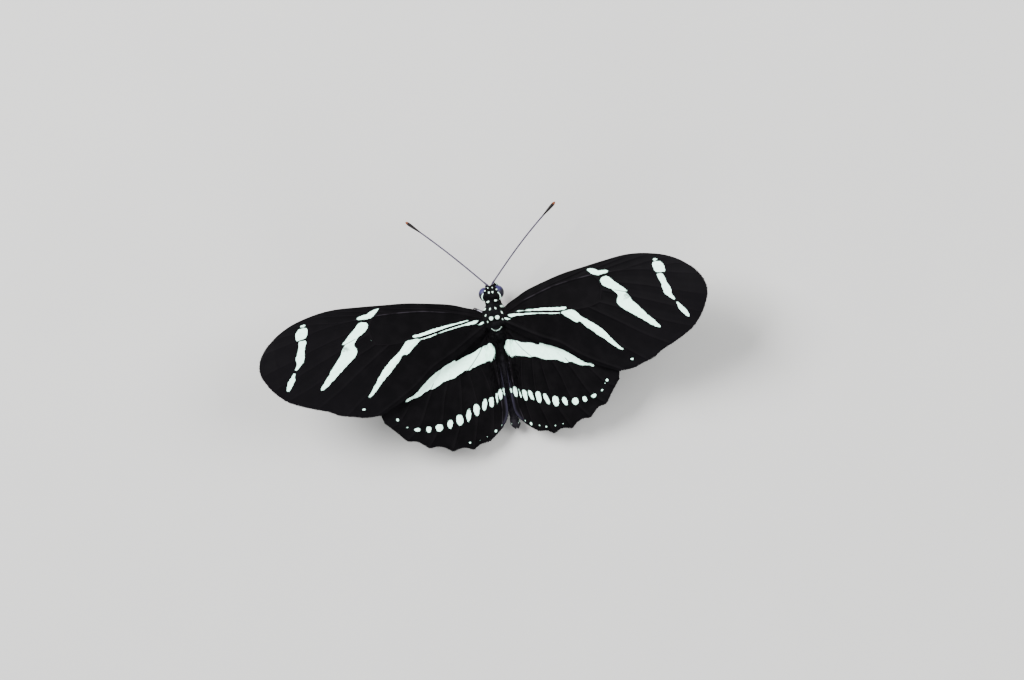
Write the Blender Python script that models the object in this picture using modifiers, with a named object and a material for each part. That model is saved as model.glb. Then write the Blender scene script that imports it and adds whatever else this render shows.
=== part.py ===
"""A zebra longwing butterfly at life size, at rest with its wings held open.

The butterfly is drawn in its own frame, in millimetres: X to its right, Y to its head, Z up from
the top of the thorax. That frame is tipped head up and stood over the floor, and the finished part
is in metres with the floor at Z = 0, the head to +Y and the right wings to +X.
"""

import math

import bmesh
import bpy
from mathutils import Matrix, Vector
from mathutils.geometry import delaunay_2d_cdt

# One millimetre in metres, and the gap that touching pieces keep
MM = 0.001
GAP = 0.3

# Stance: how far the body is tipped head up, and where the top of the thorax stands
PITCH = math.radians(8.0)
BACK_HEIGHT = 8.0
FORWARD_SHIFT = 0.68

# Wings: the lift of both pairs, the thickness of the membrane and of a vein, and a vein's half width
DIHEDRAL = math.radians(15.0)
MEMBRANE = 0.5
VEIN_THICKNESS = 0.8
VEIN_HALF_WIDTH = 0.55
SMALLEST_SPACING = 0.42
ON_VEIN = 0.02

# Forewing root and margins, seen from above, from the root round the tip and back
FOREWING_ROOT_X = 2.4
FOREWING_ROOT_FRONT = 1.5
FOREWING_ROOT_BACK = -1.6
FOREWING_ROOT_Z = -0.8
FOREWING_BOW = 0.6
FOREWING_COSTA = [
    (2.4, 1.5), (4.8, 2.9), (7.4, 4.1), (11.5, 5.2), (15.0, 5.95), (19.0, 6.45),
    (23.0, 6.8), (27.0, 7.0), (30.0, 6.8), (33.0, 6.3), (35.5, 5.7), (38.0, 4.6), (40.0, 3.1),
]
FOREWING_OUTER = [
    (41.4, 1.3), (42.1, -0.5), (42.05, -2.3), (41.2, -4.3), (40.0, -6.1), (38.3, -7.8),
    (36.0, -9.1), (33.4, -10.2), (31.3, -11.0), (29.6, -12.0), (27.4, -12.6), (25.2, -13.2),
]
FOREWING_INNER = [
    (22.45, -13.3), (18.2, -11.5), (15.0, -9.65), (12.0, -7.4), (8.0, -5.55), (5.0, -3.7), (2.4, -1.6),
]

# Hindwing root and margins: the costa lies under the forewing, and the outer margin is toothed
HINDWING_ROOT_X = 2.1
HINDWING_ROOT_FRONT = -1.5
HINDWING_ROOT_BACK = -3.4
HINDWING_ROOT_Z = -2.0
HINDWING_INNER_Z = -1.55
HINDWING_DROOP = 0.5
HINDWING_COSTA = [
    (2.1, -1.5), (5.0, -0.6), (10.0, -2.2), (15.0, -4.9), (19.0, -8.0), (21.6, -11.0), (22.5, -13.0),
]
HINDWING_TEETH = [(22.2, -14.6), (18.8, -18.6), (15.25, -20.55), (11.3, -21.85), (7.6, -22.2)]
HINDWING_BAYS = [(20.9, -16.1), (17.0, -19.1), (13.1, -20.7), (9.3, -21.6)]
HINDWING_INNER = [
    (5.7, -21.4), (3.8, -20.55), (2.2, -19.4), (1.1, -18.1), (0.55, -16.5), (0.45, -13.4),
    (0.5, -9.3), (0.5, -6.5), (0.8, -5.0), (1.2, -4.2), (1.7, -3.8), (2.1, -3.4),
]

# Main veins, each from its root or fork to the margin
FOREWING_VEINS = {
    "subcosta": [(3.6, 1.6), (10.0, 3.9), (16.0, 5.2), (21.5, 6.5)],
    "radius": [
        (2.6, 0.9), (6.8, 2.6), (11.9, 3.9), (15.7, 4.4), (20.6, 4.7), (29.2, 4.2), (35.5, 2.6), (41.4, 1.3),
    ],
    "radius_1": [(15.7, 4.4), (21.5, 5.7), (27.5, 6.9)],
    "radius_3": [(26.0, 4.5), (31.5, 5.2), (36.2, 5.3)],
    "radius_4": [(31.5, 3.8), (36.5, 4.0), (39.8, 3.2)],
    "media_1": [(21.6, 3.4), (29.5, 1.4), (36.0, -0.7), (42.0, -2.6)],
    "media_2": [(21.9, 1.7), (29.5, -1.2), (35.5, -3.6), (40.4, -5.5)],
    "media_3": [(21.2, -0.4), (27.0, -3.0), (33.0, -5.8), (38.3, -7.8)],
    "cubitus_1": [(18.8, -0.9), (24.0, -4.3), (29.0, -7.7), (33.4, -10.2)],
    "cubitus_2": [(13.8, -0.9), (18.0, -4.1), (23.0, -8.2), (28.4, -12.3)],
    "cubitus": [(2.6, -0.4), (8.0, -0.4), (13.8, -0.9), (18.8, -0.9), (21.2, -0.4)],
    "cell_end": [(21.0, 4.7), (21.6, 3.4), (21.9, 1.7), (21.2, -0.4)],
    "anal": [(2.7, -1.0), (8.0, -4.2), (12.0, -6.2), (15.5, -8.9), (19.0, -11.0), (23.4, -13.3)],
}
HINDWING_VEINS = {
    "costa": [(2.4, -1.9), (8.0, -2.7), (15.0, -6.4), (22.3, -13.0)],
    "radius": [(4.4, -2.7), (9.5, -5.3), (15.5, -10.2), (19.2, -14.6), (21.2, -15.7)],
    "media_1": [(9.5, -5.3), (13.2, -10.8), (16.1, -16.2), (18.8, -18.5)],
    "media_2": [(8.9, -7.0), (11.0, -12.0), (12.4, -16.6), (15.2, -20.4)],
    "media_3": [(7.6, -8.2), (8.1, -12.5), (8.9, -16.6), (11.3, -21.7)],
    "cubitus_1": [(6.2, -7.7), (5.7, -12.0), (5.8, -16.0), (7.6, -22.1)],
    "cubitus_2": [(4.6, -6.0), (3.4, -10.0), (3.0, -14.6), (3.9, -20.5)],
    "cubitus": [(2.5, -2.8), (4.6, -6.0), (6.2, -7.7), (7.6, -8.2), (8.9, -7.0), (9.5, -5.3)],
    "anal": [(2.2, -3.1), (1.6, -7.0), (1.3, -13.0), (1.6, -18.6)],
}
VEIN_STEP = 2.6
MARGIN_STEPS = 2
FIELD_SPACING = 3.4

# Thorax: how far along the body it reaches, its half widths there, and its height over its width
THORAX_CENTRE_Z = -2.6
THORAX_HEIGHT_RATIO = 1.1
THORAX_PROFILE = [
    (3.9, 0.9), (3.5, 1.35), (2.8, 1.65), (2.0, 2.0), (1.0, 2.3), (0.0, 2.35), (-1.0, 2.2),
    (-2.0, 1.95), (-3.0, 1.5), (-3.7, 1.0), (-4.0, 0.7),
]
WING_SOCKET_THICKNESS = 1.0
WING_SOCKET_INSIDE = 0.7

# Head and eyes: the head is cut flat at each side, and an eye is the part of an egg beyond that face
HEAD_PROFILE = [(4.2, 0.85), (4.4, 1.25), (4.85, 1.55), (5.45, 1.5), (5.85, 1.25), (6.1, 0.85), (6.25, 0.35)]
HEAD_SIDE_X = 1.15
EYE_CENTRE = (1.0, 5.0, -2.7)
EYE_RADII = (1.22, 1.3, 1.3)

# Feelers: where each leaves the head, its tip, how far its middle rises and bows, and its thickness
ANTENNA_ROOT = (0.58, 6.65, -1.3)
ANTENNA_LEFT_TIP = (-12.6, 20.3, -1.2)
ANTENNA_RIGHT_TIP = (14.7, 19.0, -1.2)
ANTENNA_RISE = 0.35
ANTENNA_BOW = 0.45
ANTENNA_RADIUS = 0.25
ANTENNA_CLUB_RADIUS = 0.4
ANTENNA_CLUB_START = 0.82
ANTENNA_TIP_LENGTH = 0.25
ANTENNA_TIP_RADIUS = 0.16
ANTENNA_SOCKET_LENGTH = 0.35
ANTENNA_SOCKET_RADIUS = 0.36

# Palps, from the root to the tip, with their half thickness, and the coiled proboscis
PALP_PATH = [(0.82, 5.98, -3.85), (0.85, 6.35, -3.8), (0.83, 6.65, -3.45), (0.76, 6.78, -3.0), (0.7, 6.8, -2.55)]
PALP_RADII = [0.26, 0.3, 0.3, 0.26, 0.14]
COIL_CENTRE = (0.0, 5.3, -6.0)
COIL_OUTER_RADIUS = 0.95
COIL_INNER_RADIUS = 0.4
COIL_TURNS = 1.3
COIL_START = math.radians(75.0)
COIL_TUBE_RADIUS = 0.2
COIL_ROOT = (0.0, 5.0, -4.87)

# Abdomen: along Y, with its height, its half thickness at each ring joint, and its lean to the left
ABDOMEN_START = -4.3
ABDOMEN_END = -19.9
ABDOMEN_RINGS = 8
ABDOMEN_LEAN = -0.35
ABDOMEN_HEIGHTS = [-2.75, -2.8, -2.85, -2.95, -3.0, -3.05, -3.1, -3.15, -3.15]
ABDOMEN_RADII = [0.6, 0.76, 0.8, 0.78, 0.72, 0.7, 0.74, 0.98, 0.5]
ABDOMEN_RING_DIP = 0.07
CLASPER_SIZE = (0.34, 0.8, 0.5)
CLASPER_SIDE = 0.42
CLASPER_FORWARD = 0.35
CLASPER_DROP = 0.1

# Legs, on the floor: hip and knee in the body's frame, ankle and toe on the floor in its plan
LEG_FEMUR_RADIUS = 0.34
LEG_TIBIA_RADIUS = 0.27
LEG_TARSUS_RADIUS = 0.26
LEG_TARSUS_HEIGHT = 0.17
LEG_JOINT_RADIUS = 0.25
KNEE_RADIUS = 0.29
ANKLE_RADIUS = 0.28
HIP_RADIUS = 0.42
HIP_STUB_RADIUS = 0.3
HIP_STUB_LENGTH = 0.45
LEGS = {
    "midleg_right": ((1.05, 0.7, -5.4), (3.9, 1.4, -3.1), (6.3, 1.6), (9.6, 2.6)),
    "midleg_left": ((-1.05, 0.7, -5.4), (-3.8, 2.95, -3.0), (-6.2, 1.9), (-9.5, 2.7)),
    "hindleg_right": ((0.95, -1.3, -5.3), (3.6, -4.0, -3.6), (5.5, -8.0), (7.3, -11.2)),
    "hindleg_left": ((-0.95, -1.3, -5.3), (-3.7, -3.9, -3.6), (-5.7, -7.6), (-7.9, -10.6)),
}
FORELEG_PATH = [(0.92, 2.6, -4.75), (0.8, 3.4, -5.05), (0.74, 4.2, -4.95), (0.76, 4.85, -5.0)]
FORELEG_RADII = [0.3, 0.3, 0.26, 0.18]
FORELEG_HIP = (0.85, 2.2, -4.1)
FORELEG_HIP_RADIUS = 0.38

# Half the reach of the blocks that cut the eye faces and the floor
CUT_REACH = 20.0

# Colours: name, linear red green blue, roughness
FINISHES = {
    "wing_black": ((0.012, 0.010, 0.011), 0.75),
    "body_black": ((0.014, 0.012, 0.014), 0.80),
    "eye": ((0.070, 0.060, 0.110), 0.25),
    "antenna": ((0.050, 0.040, 0.050), 0.60),
    "leg": ((0.080, 0.065, 0.075), 0.60),
    "proboscis": ((0.030, 0.020, 0.015), 0.40),
}


def clear_scene():
    """Remove every object that the scene starts with."""
    for item in list(bpy.data.objects):
        bpy.data.objects.remove(item, do_unlink=True)


def new_collection(name):
    """A collection linked to the scene."""
    group = bpy.data.collections.new(name)
    bpy.context.scene.collection.children.link(group)
    return group


def make_finish(name):
    """A Principled material from the table of finishes."""
    colour, roughness = FINISHES[name]
    material = bpy.data.materials.new(name)
    material.use_nodes = True
    shader = material.node_tree.nodes["Principled BSDF"]
    shader.inputs["Base Color"].default_value = (*colour, 1.0)
    shader.inputs["Roughness"].default_value = roughness
    shader.inputs["Metallic"].default_value = 0.0
    return material


def metres(point):
    """A point in millimetres as a vector in metres."""
    return Vector(point) * MM


def tip_and_stand():
    """The move from the body's frame to the floor's frame, in metres."""
    place = Matrix.Translation(metres((0.0, FORWARD_SHIFT, BACK_HEIGHT)))
    return place @ Matrix.Rotation(PITCH, 4, "X")


def on_floor(point):
    """A point of the body's frame, in millimetres, as the floor's frame has it, in millimetres."""
    return tip_and_stand() @ metres(point) / MM


def smooth_path(points, steps):
    """A Catmull-Rom curve through the points, with a number of steps between each two."""
    path = []
    last = len(points) - 1
    for index in range(last):
        before = Vector(points[max(index - 1, 0)])
        start = Vector(points[index])
        end = Vector(points[index + 1])
        after = Vector(points[min(index + 2, last)])
        for step in range(steps):
            t = step / steps
            path.append(0.5 * (
                2.0 * start + (end - before) * t
                + (2.0 * before - 5.0 * start + 4.0 * end - after) * t ** 2
                + (3.0 * start - before - 3.0 * end + after) * t ** 3
            ))
    path.append(Vector(points[last]))
    return path


def even_path(points, spacing):
    """Points about the same distance apart on a smooth curve through the given ones."""
    fine = smooth_path(points, 12)
    lengths = [0.0]
    for start, end in zip(fine, fine[1:]):
        lengths.append(lengths[-1] + (end - start).length)
    count = max(round(lengths[-1] / spacing), 1)
    path = []
    index = 0
    for step in range(count + 1):
        wanted = lengths[-1] * step / count
        while index < len(fine) - 2 and lengths[index + 1] < wanted:
            index += 1
        share = (wanted - lengths[index]) / (lengths[index + 1] - lengths[index])
        path.append(fine[index].lerp(fine[index + 1], share))
    return path


def between(x, pairs):
    """The value at x on a broken line of (x, value) pairs with rising x."""
    if x <= pairs[0][0]:
        return pairs[0][1]
    for (x0, y0), (x1, y1) in zip(pairs, pairs[1:]):
        if x <= x1:
            return y0 + (y1 - y0) * (x - x0) / (x1 - x0)
    return pairs[-1][1]


def forewing_height(x, y):
    """How high the middle of the forewing's membrane lies: its lift, and a bow across its chord."""
    lead = between(x, FOREWING_COSTA + FOREWING_OUTER[:2])
    trail = between(x, list(reversed(FOREWING_OUTER[1:] + FOREWING_INNER)))
    chord = min(max((lead - y) / max(lead - trail, 0.5), 0.0), 1.0)
    spread = min(max((x - FOREWING_ROOT_X) / 8.0, 0.0), 1.0)
    bow = FOREWING_BOW * spread * math.sin(math.pi * chord)
    return FOREWING_ROOT_Z + (x - FOREWING_ROOT_X) * math.tan(DIHEDRAL) + bow


def hindwing_height(x, y):
    """How high the middle of the hindwing's membrane lies: its lift, and a droop behind."""
    lift = max(x - HINDWING_ROOT_X, 0.0) * math.tan(DIHEDRAL)
    inside = min(max((HINDWING_ROOT_X - x) / 1.5, 0.0), 1.0)
    rise = (HINDWING_INNER_Z - HINDWING_ROOT_Z) * inside
    behind = min(max((-8.0 - y) / 14.0, 0.0), 1.0)
    return HINDWING_ROOT_Z + lift + rise - HINDWING_DROOP * behind ** 2 * min(x / 6.0, 1.0)


def hindwing_margin():
    """The hindwing's margin from above: costa, teeth with rounded bays between them, and inner margin."""
    margin = smooth_path(HINDWING_COSTA, MARGIN_STEPS)
    for tooth, bay, after in zip(HINDWING_TEETH, HINDWING_BAYS, HINDWING_TEETH[1:]):
        start, low, end = Vector(tooth), Vector(bay), Vector(after)
        margin += [start, start.lerp(low, 0.55) + (low - start.lerp(end, 0.5)) * 0.2, low]
        margin.append(low.lerp(end, 0.55) + (low - start.lerp(end, 0.5)) * 0.15)
    margin.append(Vector(HINDWING_TEETH[-1]))
    margin += smooth_path(HINDWING_INNER, MARGIN_STEPS)
    return margin


def forewing_margin():
    """The forewing's margin from above: costa, rounded tip and outer margin, and inner margin."""
    front = smooth_path(FOREWING_COSTA + FOREWING_OUTER + FOREWING_INNER[:1], MARGIN_STEPS)
    return front[:-1] + smooth_path(FOREWING_INNER, 1)


def distance_to_line(point, start, end):
    """The distance from a point to a stretch of a straight line, seen from above."""
    along = end - start
    share = min(max((point - start).dot(along) / along.length_squared, 0.0), 1.0)
    return (point - start - along * share).length


def inside_margin(point, margin):
    """Whether a point lies inside a closed outline, seen from above."""
    inside = False
    for start, end in zip(margin, margin[1:] + margin[:1]):
        if (start.y > point.y) != (end.y > point.y):
            if point.x < start.x + (end.x - start.x) * (point.y - start.y) / (end.y - start.y):
                inside = not inside
    return inside


def vein_path(points, margin):
    """A vein's points at even steps on a smooth curve, with its outer end moved onto the margin."""
    path = even_path(points, VEIN_STEP)
    nearest = min(margin, key=lambda spot: (spot - path[-1]).length)
    if (nearest - path[-1]).length < VEIN_STEP / 2.0:
        path[-1] = nearest
    return path


def wing_points(margin, veins):
    """The wing's points from above, the edges that its triangles keep, and the stretches of its veins.

    Both sides of each vein carry a row of points at its foot, and the fields between the veins carry
    a loose lattice, so that the bow of the membrane shows."""
    points = list(margin)
    edges = [(index, (index + 1) % len(margin)) for index in range(len(margin))]

    def add(point):
        for index, known in enumerate(points):
            if (known - point).length < SMALLEST_SPACING:
                return index
        points.append(point)
        return len(points) - 1

    lines = []
    for vein in veins.values():
        chain = [add(point) for point in vein_path(vein, margin)]
        steps = [(start, end) for start, end in zip(chain, chain[1:]) if start != end]
        edges += steps
        lines += [(points[start], points[end]) for start, end in steps]
    outline = list(zip(margin, margin[1:] + margin[:1]))
    feet = []
    for start, end in lines:
        along = (end - start).normalized()
        across = Vector((-along.y, along.x)) * VEIN_HALF_WIDTH
        middle = start.lerp(end, 0.5)
        feet += [middle + across, middle - across, start + across, start - across]
    spacing = FIELD_SPACING
    for row in range(-8, 4):
        for column in range(14):
            feet.append(Vector(((column + 0.5 * (row % 2)) * spacing, row * spacing * 0.87)))
    for index, foot in enumerate(feet):
        field = index >= 4 * len(lines)
        room = 1.3 if field else VEIN_HALF_WIDTH * 0.9
        if not inside_margin(foot, margin):
            continue
        if min(distance_to_line(foot, *line) for line in lines) < room:
            continue
        if min(distance_to_line(foot, *line) for line in outline) < SMALLEST_SPACING:
            continue
        if min((known - foot).length for known in points) < (1.3 if field else SMALLEST_SPACING):
            continue
        points.append(foot)
    return points, edges, lines


def make_wing(name, side, margin, veins, height, group, material):
    """One wing: a triangulated membrane with its veins as ridges on both faces.

    The membrane is an open sheet that Solidify thickens, more on the veins, so both faces have the
    same triangles."""
    points, edges, lines = wing_points(margin, veins)
    outline = [list(range(len(margin)))]
    flat, _, faces, _, _, _ = delaunay_2d_cdt(points, edges, outline, 1, 0.001)
    sheet = bmesh.new()
    corners = [sheet.verts.new(metres((side * p.x, p.y, height(p.x, p.y)))) for p in flat]
    for face in faces:
        sheet.faces.new([corners[index] for index in face])
    bmesh.ops.recalc_face_normals(sheet, faces=sheet.faces[:])
    if sum(face.normal.z for face in sheet.faces) < 0.0:
        bmesh.ops.reverse_faces(sheet, faces=sheet.faces[:])
    mesh = bpy.data.meshes.new(name)
    sheet.to_mesh(mesh)
    sheet.free()
    wing = bpy.data.objects.new(name, mesh)
    group.objects.link(wing)
    ridges = wing.vertex_groups.new(name="veins")
    for index, point in enumerate(flat):
        reach = min(distance_to_line(point, *line) for line in lines)
        share = 1.0 if reach < ON_VEIN else 0.0
        thickness = MEMBRANE + (VEIN_THICKNESS - MEMBRANE) * share
        ridges.add([index], thickness / VEIN_THICKNESS, "REPLACE")
    shell = wing.modifiers.new("membrane", "SOLIDIFY")
    shell.thickness = VEIN_THICKNESS * MM
    shell.offset = 0.0
    shell.vertex_group = "veins"
    shell.use_even_offset = False
    mesh.materials.append(material)
    return wing


def make_tube(name, points, radii, sides, group):
    """A round tube through points in millimetres, with its own half thickness at each, capped."""
    curve = bpy.data.curves.new(name, "CURVE")
    curve.dimensions = "3D"
    curve.bevel_depth = MM
    curve.bevel_resolution = sides // 2 - 2
    curve.use_fill_caps = True
    line = curve.splines.new("POLY")
    line.points.add(len(points) - 1)
    for spot, point, radius in zip(line.points, points, radii):
        spot.co = (*metres(point), 1.0)
        spot.radius = radius
    drawn = bpy.data.objects.new(name + "_line", curve)
    group.objects.link(drawn)
    bpy.context.view_layer.update()
    solid = drawn.evaluated_get(bpy.context.evaluated_depsgraph_get())
    mesh = bpy.data.meshes.new_from_object(solid)
    bpy.data.objects.remove(drawn, do_unlink=True)
    shape = bmesh.new()
    shape.from_mesh(mesh)
    bmesh.ops.remove_doubles(shape, verts=shape.verts[:], dist=0.00001)
    bmesh.ops.recalc_face_normals(shape, faces=shape.faces[:])
    shape.to_mesh(mesh)
    shape.free()
    tube = bpy.data.objects.new(name, mesh)
    group.objects.link(tube)
    return tube


def make_turned(name, profile, sides, centre_z, height_ratio, group):
    """A turned form along Y: a profile of (place along Y, half width), with its ends closed."""
    mesh = bpy.data.meshes.new(name)
    shape = bmesh.new()
    ring = [shape.verts.new((radius * MM, 0.0, place * MM)) for place, radius in profile]
    for start, end in zip(ring, ring[1:]):
        shape.edges.new((start, end))
    bmesh.ops.spin(
        shape, geom=shape.verts[:] + shape.edges[:], axis=(0.0, 0.0, 1.0), cent=(0.0, 0.0, 0.0),
        angle=math.tau, steps=sides, use_merge=False, use_duplicate=False,
    )
    bmesh.ops.remove_doubles(shape, verts=shape.verts[:], dist=0.00001)
    bmesh.ops.holes_fill(shape, edges=shape.edges[:], sides=sides)
    upright = Matrix.Rotation(math.radians(-90.0), 4, "X")
    tall = Matrix.Diagonal((1.0, 1.0, height_ratio, 1.0))
    place = Matrix.Translation((0.0, 0.0, centre_z * MM))
    bmesh.ops.transform(shape, matrix=place @ tall @ upright, verts=shape.verts[:])
    bmesh.ops.recalc_face_normals(shape, faces=shape.faces[:])
    shape.to_mesh(mesh)
    shape.free()
    form = bpy.data.objects.new(name, mesh)
    group.objects.link(form)
    return form


def make_egg(name, centre, radii, segments, rings, group):
    """An ellipsoid about a point, both in millimetres."""
    mesh = bpy.data.meshes.new(name)
    shape = bmesh.new()
    bmesh.ops.create_uvsphere(shape, u_segments=segments, v_segments=rings, radius=MM)
    bmesh.ops.scale(shape, vec=radii, verts=shape.verts[:])
    bmesh.ops.translate(shape, vec=metres(centre), verts=shape.verts[:])
    shape.to_mesh(mesh)
    shape.free()
    egg = bpy.data.objects.new(name, mesh)
    group.objects.link(egg)
    return egg


def make_block(name, lowest, highest, turn, pivot, group):
    """A box between two corners in millimetres, turned about Y at a pivot."""
    mesh = bpy.data.meshes.new(name)
    shape = bmesh.new()
    size = [high - low for low, high in zip(lowest, highest)]
    middle = [(high + low) / 2.0 for low, high in zip(lowest, highest)]
    bmesh.ops.create_cube(shape, size=MM)
    bmesh.ops.scale(shape, vec=size, verts=shape.verts[:])
    bmesh.ops.translate(shape, vec=metres(middle), verts=shape.verts[:])
    bmesh.ops.rotate(
        shape, cent=metres(pivot), matrix=Matrix.Rotation(turn, 3, "Y"), verts=shape.verts[:],
    )
    shape.to_mesh(mesh)
    shape.free()
    block = bpy.data.objects.new(name, mesh)
    group.objects.link(block)
    return block


def keep_largest(mesh):
    """Keep only the largest closed surface of a mesh."""
    shape = bmesh.new()
    shape.from_mesh(mesh)
    left = set(shape.verts)
    islands = []
    while left:
        start = left.pop()
        island = {start}
        edge_of = [start]
        while edge_of:
            vertex = edge_of.pop()
            for edge in vertex.link_edges:
                other = edge.other_vert(vertex)
                if other not in island:
                    island.add(other)
                    edge_of.append(other)
        left -= island
        islands.append(island)
    islands.sort(key=len, reverse=True)
    for island in islands[1:]:
        bmesh.ops.delete(shape, geom=list(island), context="VERTS")
    shape.to_mesh(mesh)
    shape.free()


def fuse(name, base, pieces, group, material, cutters=()):
    """One node from a base form with pieces joined to it and cutters taken off it."""
    joined = bpy.data.collections.new(name + "_pieces")
    bpy.context.scene.collection.children.link(joined)
    for piece in pieces:
        for owner in list(piece.users_collection):
            owner.objects.unlink(piece)
        joined.objects.link(piece)
    if pieces:
        union = base.modifiers.new("join", "BOOLEAN")
        union.operation = "UNION"
        union.operand_type = "COLLECTION"
        union.collection = joined
        union.solver = "EXACT"
    for cutter in cutters:
        cut = base.modifiers.new("cut", "BOOLEAN")
        cut.operation = "DIFFERENCE"
        cut.object = cutter
        cut.solver = "EXACT"
        cutter.hide_render = True
        cutter.display_type = "WIRE"
    bpy.context.view_layer.update()
    solid = base.evaluated_get(bpy.context.evaluated_depsgraph_get())
    mesh = bpy.data.meshes.new_from_object(solid)
    for piece in pieces:
        bpy.data.objects.remove(piece, do_unlink=True)
    bpy.data.collections.remove(joined)
    bpy.data.objects.remove(base, do_unlink=True)
    keep_largest(mesh)
    mesh.name = name
    mesh.materials.clear()
    mesh.materials.append(material)
    mesh.shade_smooth()
    mesh.set_sharp_from_angle(angle=math.radians(35.0))
    node = bpy.data.objects.new(name, mesh)
    group.objects.link(node)
    return node


def stub_between(name, start, end, radius, sides, group):
    """A short round peg between two points."""
    middle = Vector(start).lerp(Vector(end), 0.5)
    return make_tube(name, [start, middle, end], [radius] * 3, sides, group)


def antenna_line(side):
    """The root and the tip of one feeler, and the unit vector between them."""
    root = Vector((side * ANTENNA_ROOT[0], ANTENNA_ROOT[1], ANTENNA_ROOT[2]))
    tip = Vector(ANTENNA_RIGHT_TIP if side > 0 else ANTENNA_LEFT_TIP)
    return root, tip, (tip - root).normalized()


def make_thorax(group, material):
    """The thorax, with a flat socket for each wing root and a short hip for each leg."""
    body = make_turned("thorax_form", THORAX_PROFILE, 24, THORAX_CENTRE_Z, THORAX_HEIGHT_RATIO, group)
    pieces = []
    sockets = [
        (FOREWING_ROOT_X, FOREWING_ROOT_Z, FOREWING_ROOT_BACK, FOREWING_ROOT_FRONT, DIHEDRAL),
        (HINDWING_ROOT_X, HINDWING_ROOT_Z, HINDWING_ROOT_BACK, HINDWING_ROOT_FRONT, DIHEDRAL / 2.0),
    ]
    for side in (-1.0, 1.0):
        for root_x, root_z, back, front, turn in sockets:
            face_x = side * (root_x - GAP)
            inner_x = side * WING_SOCKET_INSIDE
            half = WING_SOCKET_THICKNESS / 2.0
            pieces.append(make_block(
                "socket",
                (min(face_x, inner_x), back, root_z - half),
                (max(face_x, inner_x), front, root_z + half),
                -side * turn, (side * root_x, 0.0, root_z), group,
            ))
        pieces.append(make_foreleg_hip(side, group))
    for hip, knee, _, _ in LEGS.values():
        joint = Vector(hip)
        inside = Vector((0.7 * hip[0], hip[1], THORAX_CENTRE_Z - 1.0))
        outward = (Vector(knee) - joint).normalized()
        pieces.append(stub_between("hip", inside, joint, HIP_RADIUS, 8, group))
        pieces.append(make_egg("hip_ball", joint, (HIP_RADIUS * 1.1,) * 3, 10, 8, group))
        pieces.append(stub_between(
            "hip_peg", joint, joint + outward * HIP_STUB_LENGTH, HIP_STUB_RADIUS, 8, group,
        ))
    return fuse("thorax", body, pieces, group, material)


def make_foreleg_hip(side, group):
    """The peg on the thorax that carries a folded foreleg."""
    x, y, z = FORELEG_HIP
    start = Vector((side * 0.4 * x, y - 0.3, THORAX_CENTRE_Z))
    return stub_between("hip", start, Vector((side * x, y, z)), FORELEG_HIP_RADIUS, 8, group)


def make_head(group, material):
    """The head: a rounded form cut flat where the eyes sit, with a socket for each feeler."""
    form = make_turned("head_form", HEAD_PROFILE, 20, THORAX_CENTRE_Z, 1.1, group)
    pieces = []
    for side in (-1.0, 1.0):
        root, _, forward = antenna_line(side)
        end = root - forward * GAP
        start = end - forward * ANTENNA_SOCKET_LENGTH - Vector((0.0, 0.3, 0.9))
        pieces.append(stub_between("antenna_socket", start, end, ANTENNA_SOCKET_RADIUS, 8, group))
    cutters = [side_cutter("eye_face", side * HEAD_SIDE_X, side * CUT_REACH) for side in (-1.0, 1.0)]
    return fuse("head", form, pieces, group, material, cutters)


def cutter_group():
    """The collection that holds the cutters."""
    return bpy.data.collections.get("cutters") or new_collection("cutters")


def side_cutter(name, near, far):
    """A block that takes off everything between two distances to the side."""
    low = (min(near, far), -CUT_REACH, -CUT_REACH)
    high = (max(near, far), CUT_REACH, CUT_REACH)
    return make_block(name, low, high, 0.0, (0.0, 0.0, 0.0), cutter_group())


def make_eye(name, side, group, material):
    """An eye: the outer part of an egg, flat towards the head."""
    centre = (side * EYE_CENTRE[0], EYE_CENTRE[1], EYE_CENTRE[2])
    egg = make_egg(name + "_form", centre, EYE_RADII, 18, 10, group)
    cutter = side_cutter("eye_back", side * (HEAD_SIDE_X + GAP), -side * CUT_REACH)
    return fuse(name, egg, [], group, material, [cutter])


def make_antenna(name, side, group, material):
    """A feeler: a thin shaft with a slight bow that thickens to a club at its end."""
    root, tip, forward = antenna_line(side)
    count = 16
    points = []
    radii = []
    for step in range(count + 1):
        t = step / count
        swing = math.sin(math.pi * t)
        points.append(root.lerp(tip, t) + Vector((0.0, ANTENNA_BOW * swing, ANTENNA_RISE * swing)))
        if t < ANTENNA_CLUB_START:
            radii.append(ANTENNA_RADIUS)
        else:
            swell = math.sin(math.pi * 0.62 * (t - ANTENNA_CLUB_START) / (1.0 - ANTENNA_CLUB_START))
            radii.append(ANTENNA_RADIUS + (ANTENNA_CLUB_RADIUS - ANTENNA_RADIUS) * swell)
    points.append(tip + forward * ANTENNA_TIP_LENGTH)
    radii.append(ANTENNA_TIP_RADIUS)
    tube = make_tube(name + "_form", points, radii, 8, group)
    return fuse(name, tube, [], group, material)


def make_palp(name, side, group, material):
    """A palp: a short upturned feeler under the front of the head."""
    points = smooth_path([(side * x, y, z) for x, y, z in PALP_PATH], 2)
    radii = []
    for start, end in zip(PALP_RADII, PALP_RADII[1:]):
        radii += [start, (start + end) / 2.0]
    radii.append(PALP_RADII[-1])
    tube = make_tube(name + "_form", points, radii, 8, group)
    return fuse(name, tube, [], group, material)


def make_proboscis(group, material):
    """The tongue: a tube that leaves the front of the head and winds into a flat coil."""
    centre = Vector(COIL_CENTRE)
    points = [Vector(COIL_ROOT)]
    count = 26
    for step in range(count + 1):
        t = step / count
        angle = COIL_START - math.tau * COIL_TURNS * t
        radius = COIL_OUTER_RADIUS + (COIL_INNER_RADIUS - COIL_OUTER_RADIUS) * t
        points.append(centre + Vector((0.0, math.cos(angle), math.sin(angle))) * radius)
    radii = [COIL_TUBE_RADIUS * 1.2] + [COIL_TUBE_RADIUS] * (count + 1)
    tube = make_tube("proboscis_form", points, radii, 8, group)
    return fuse("proboscis", tube, [], group, material)


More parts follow.
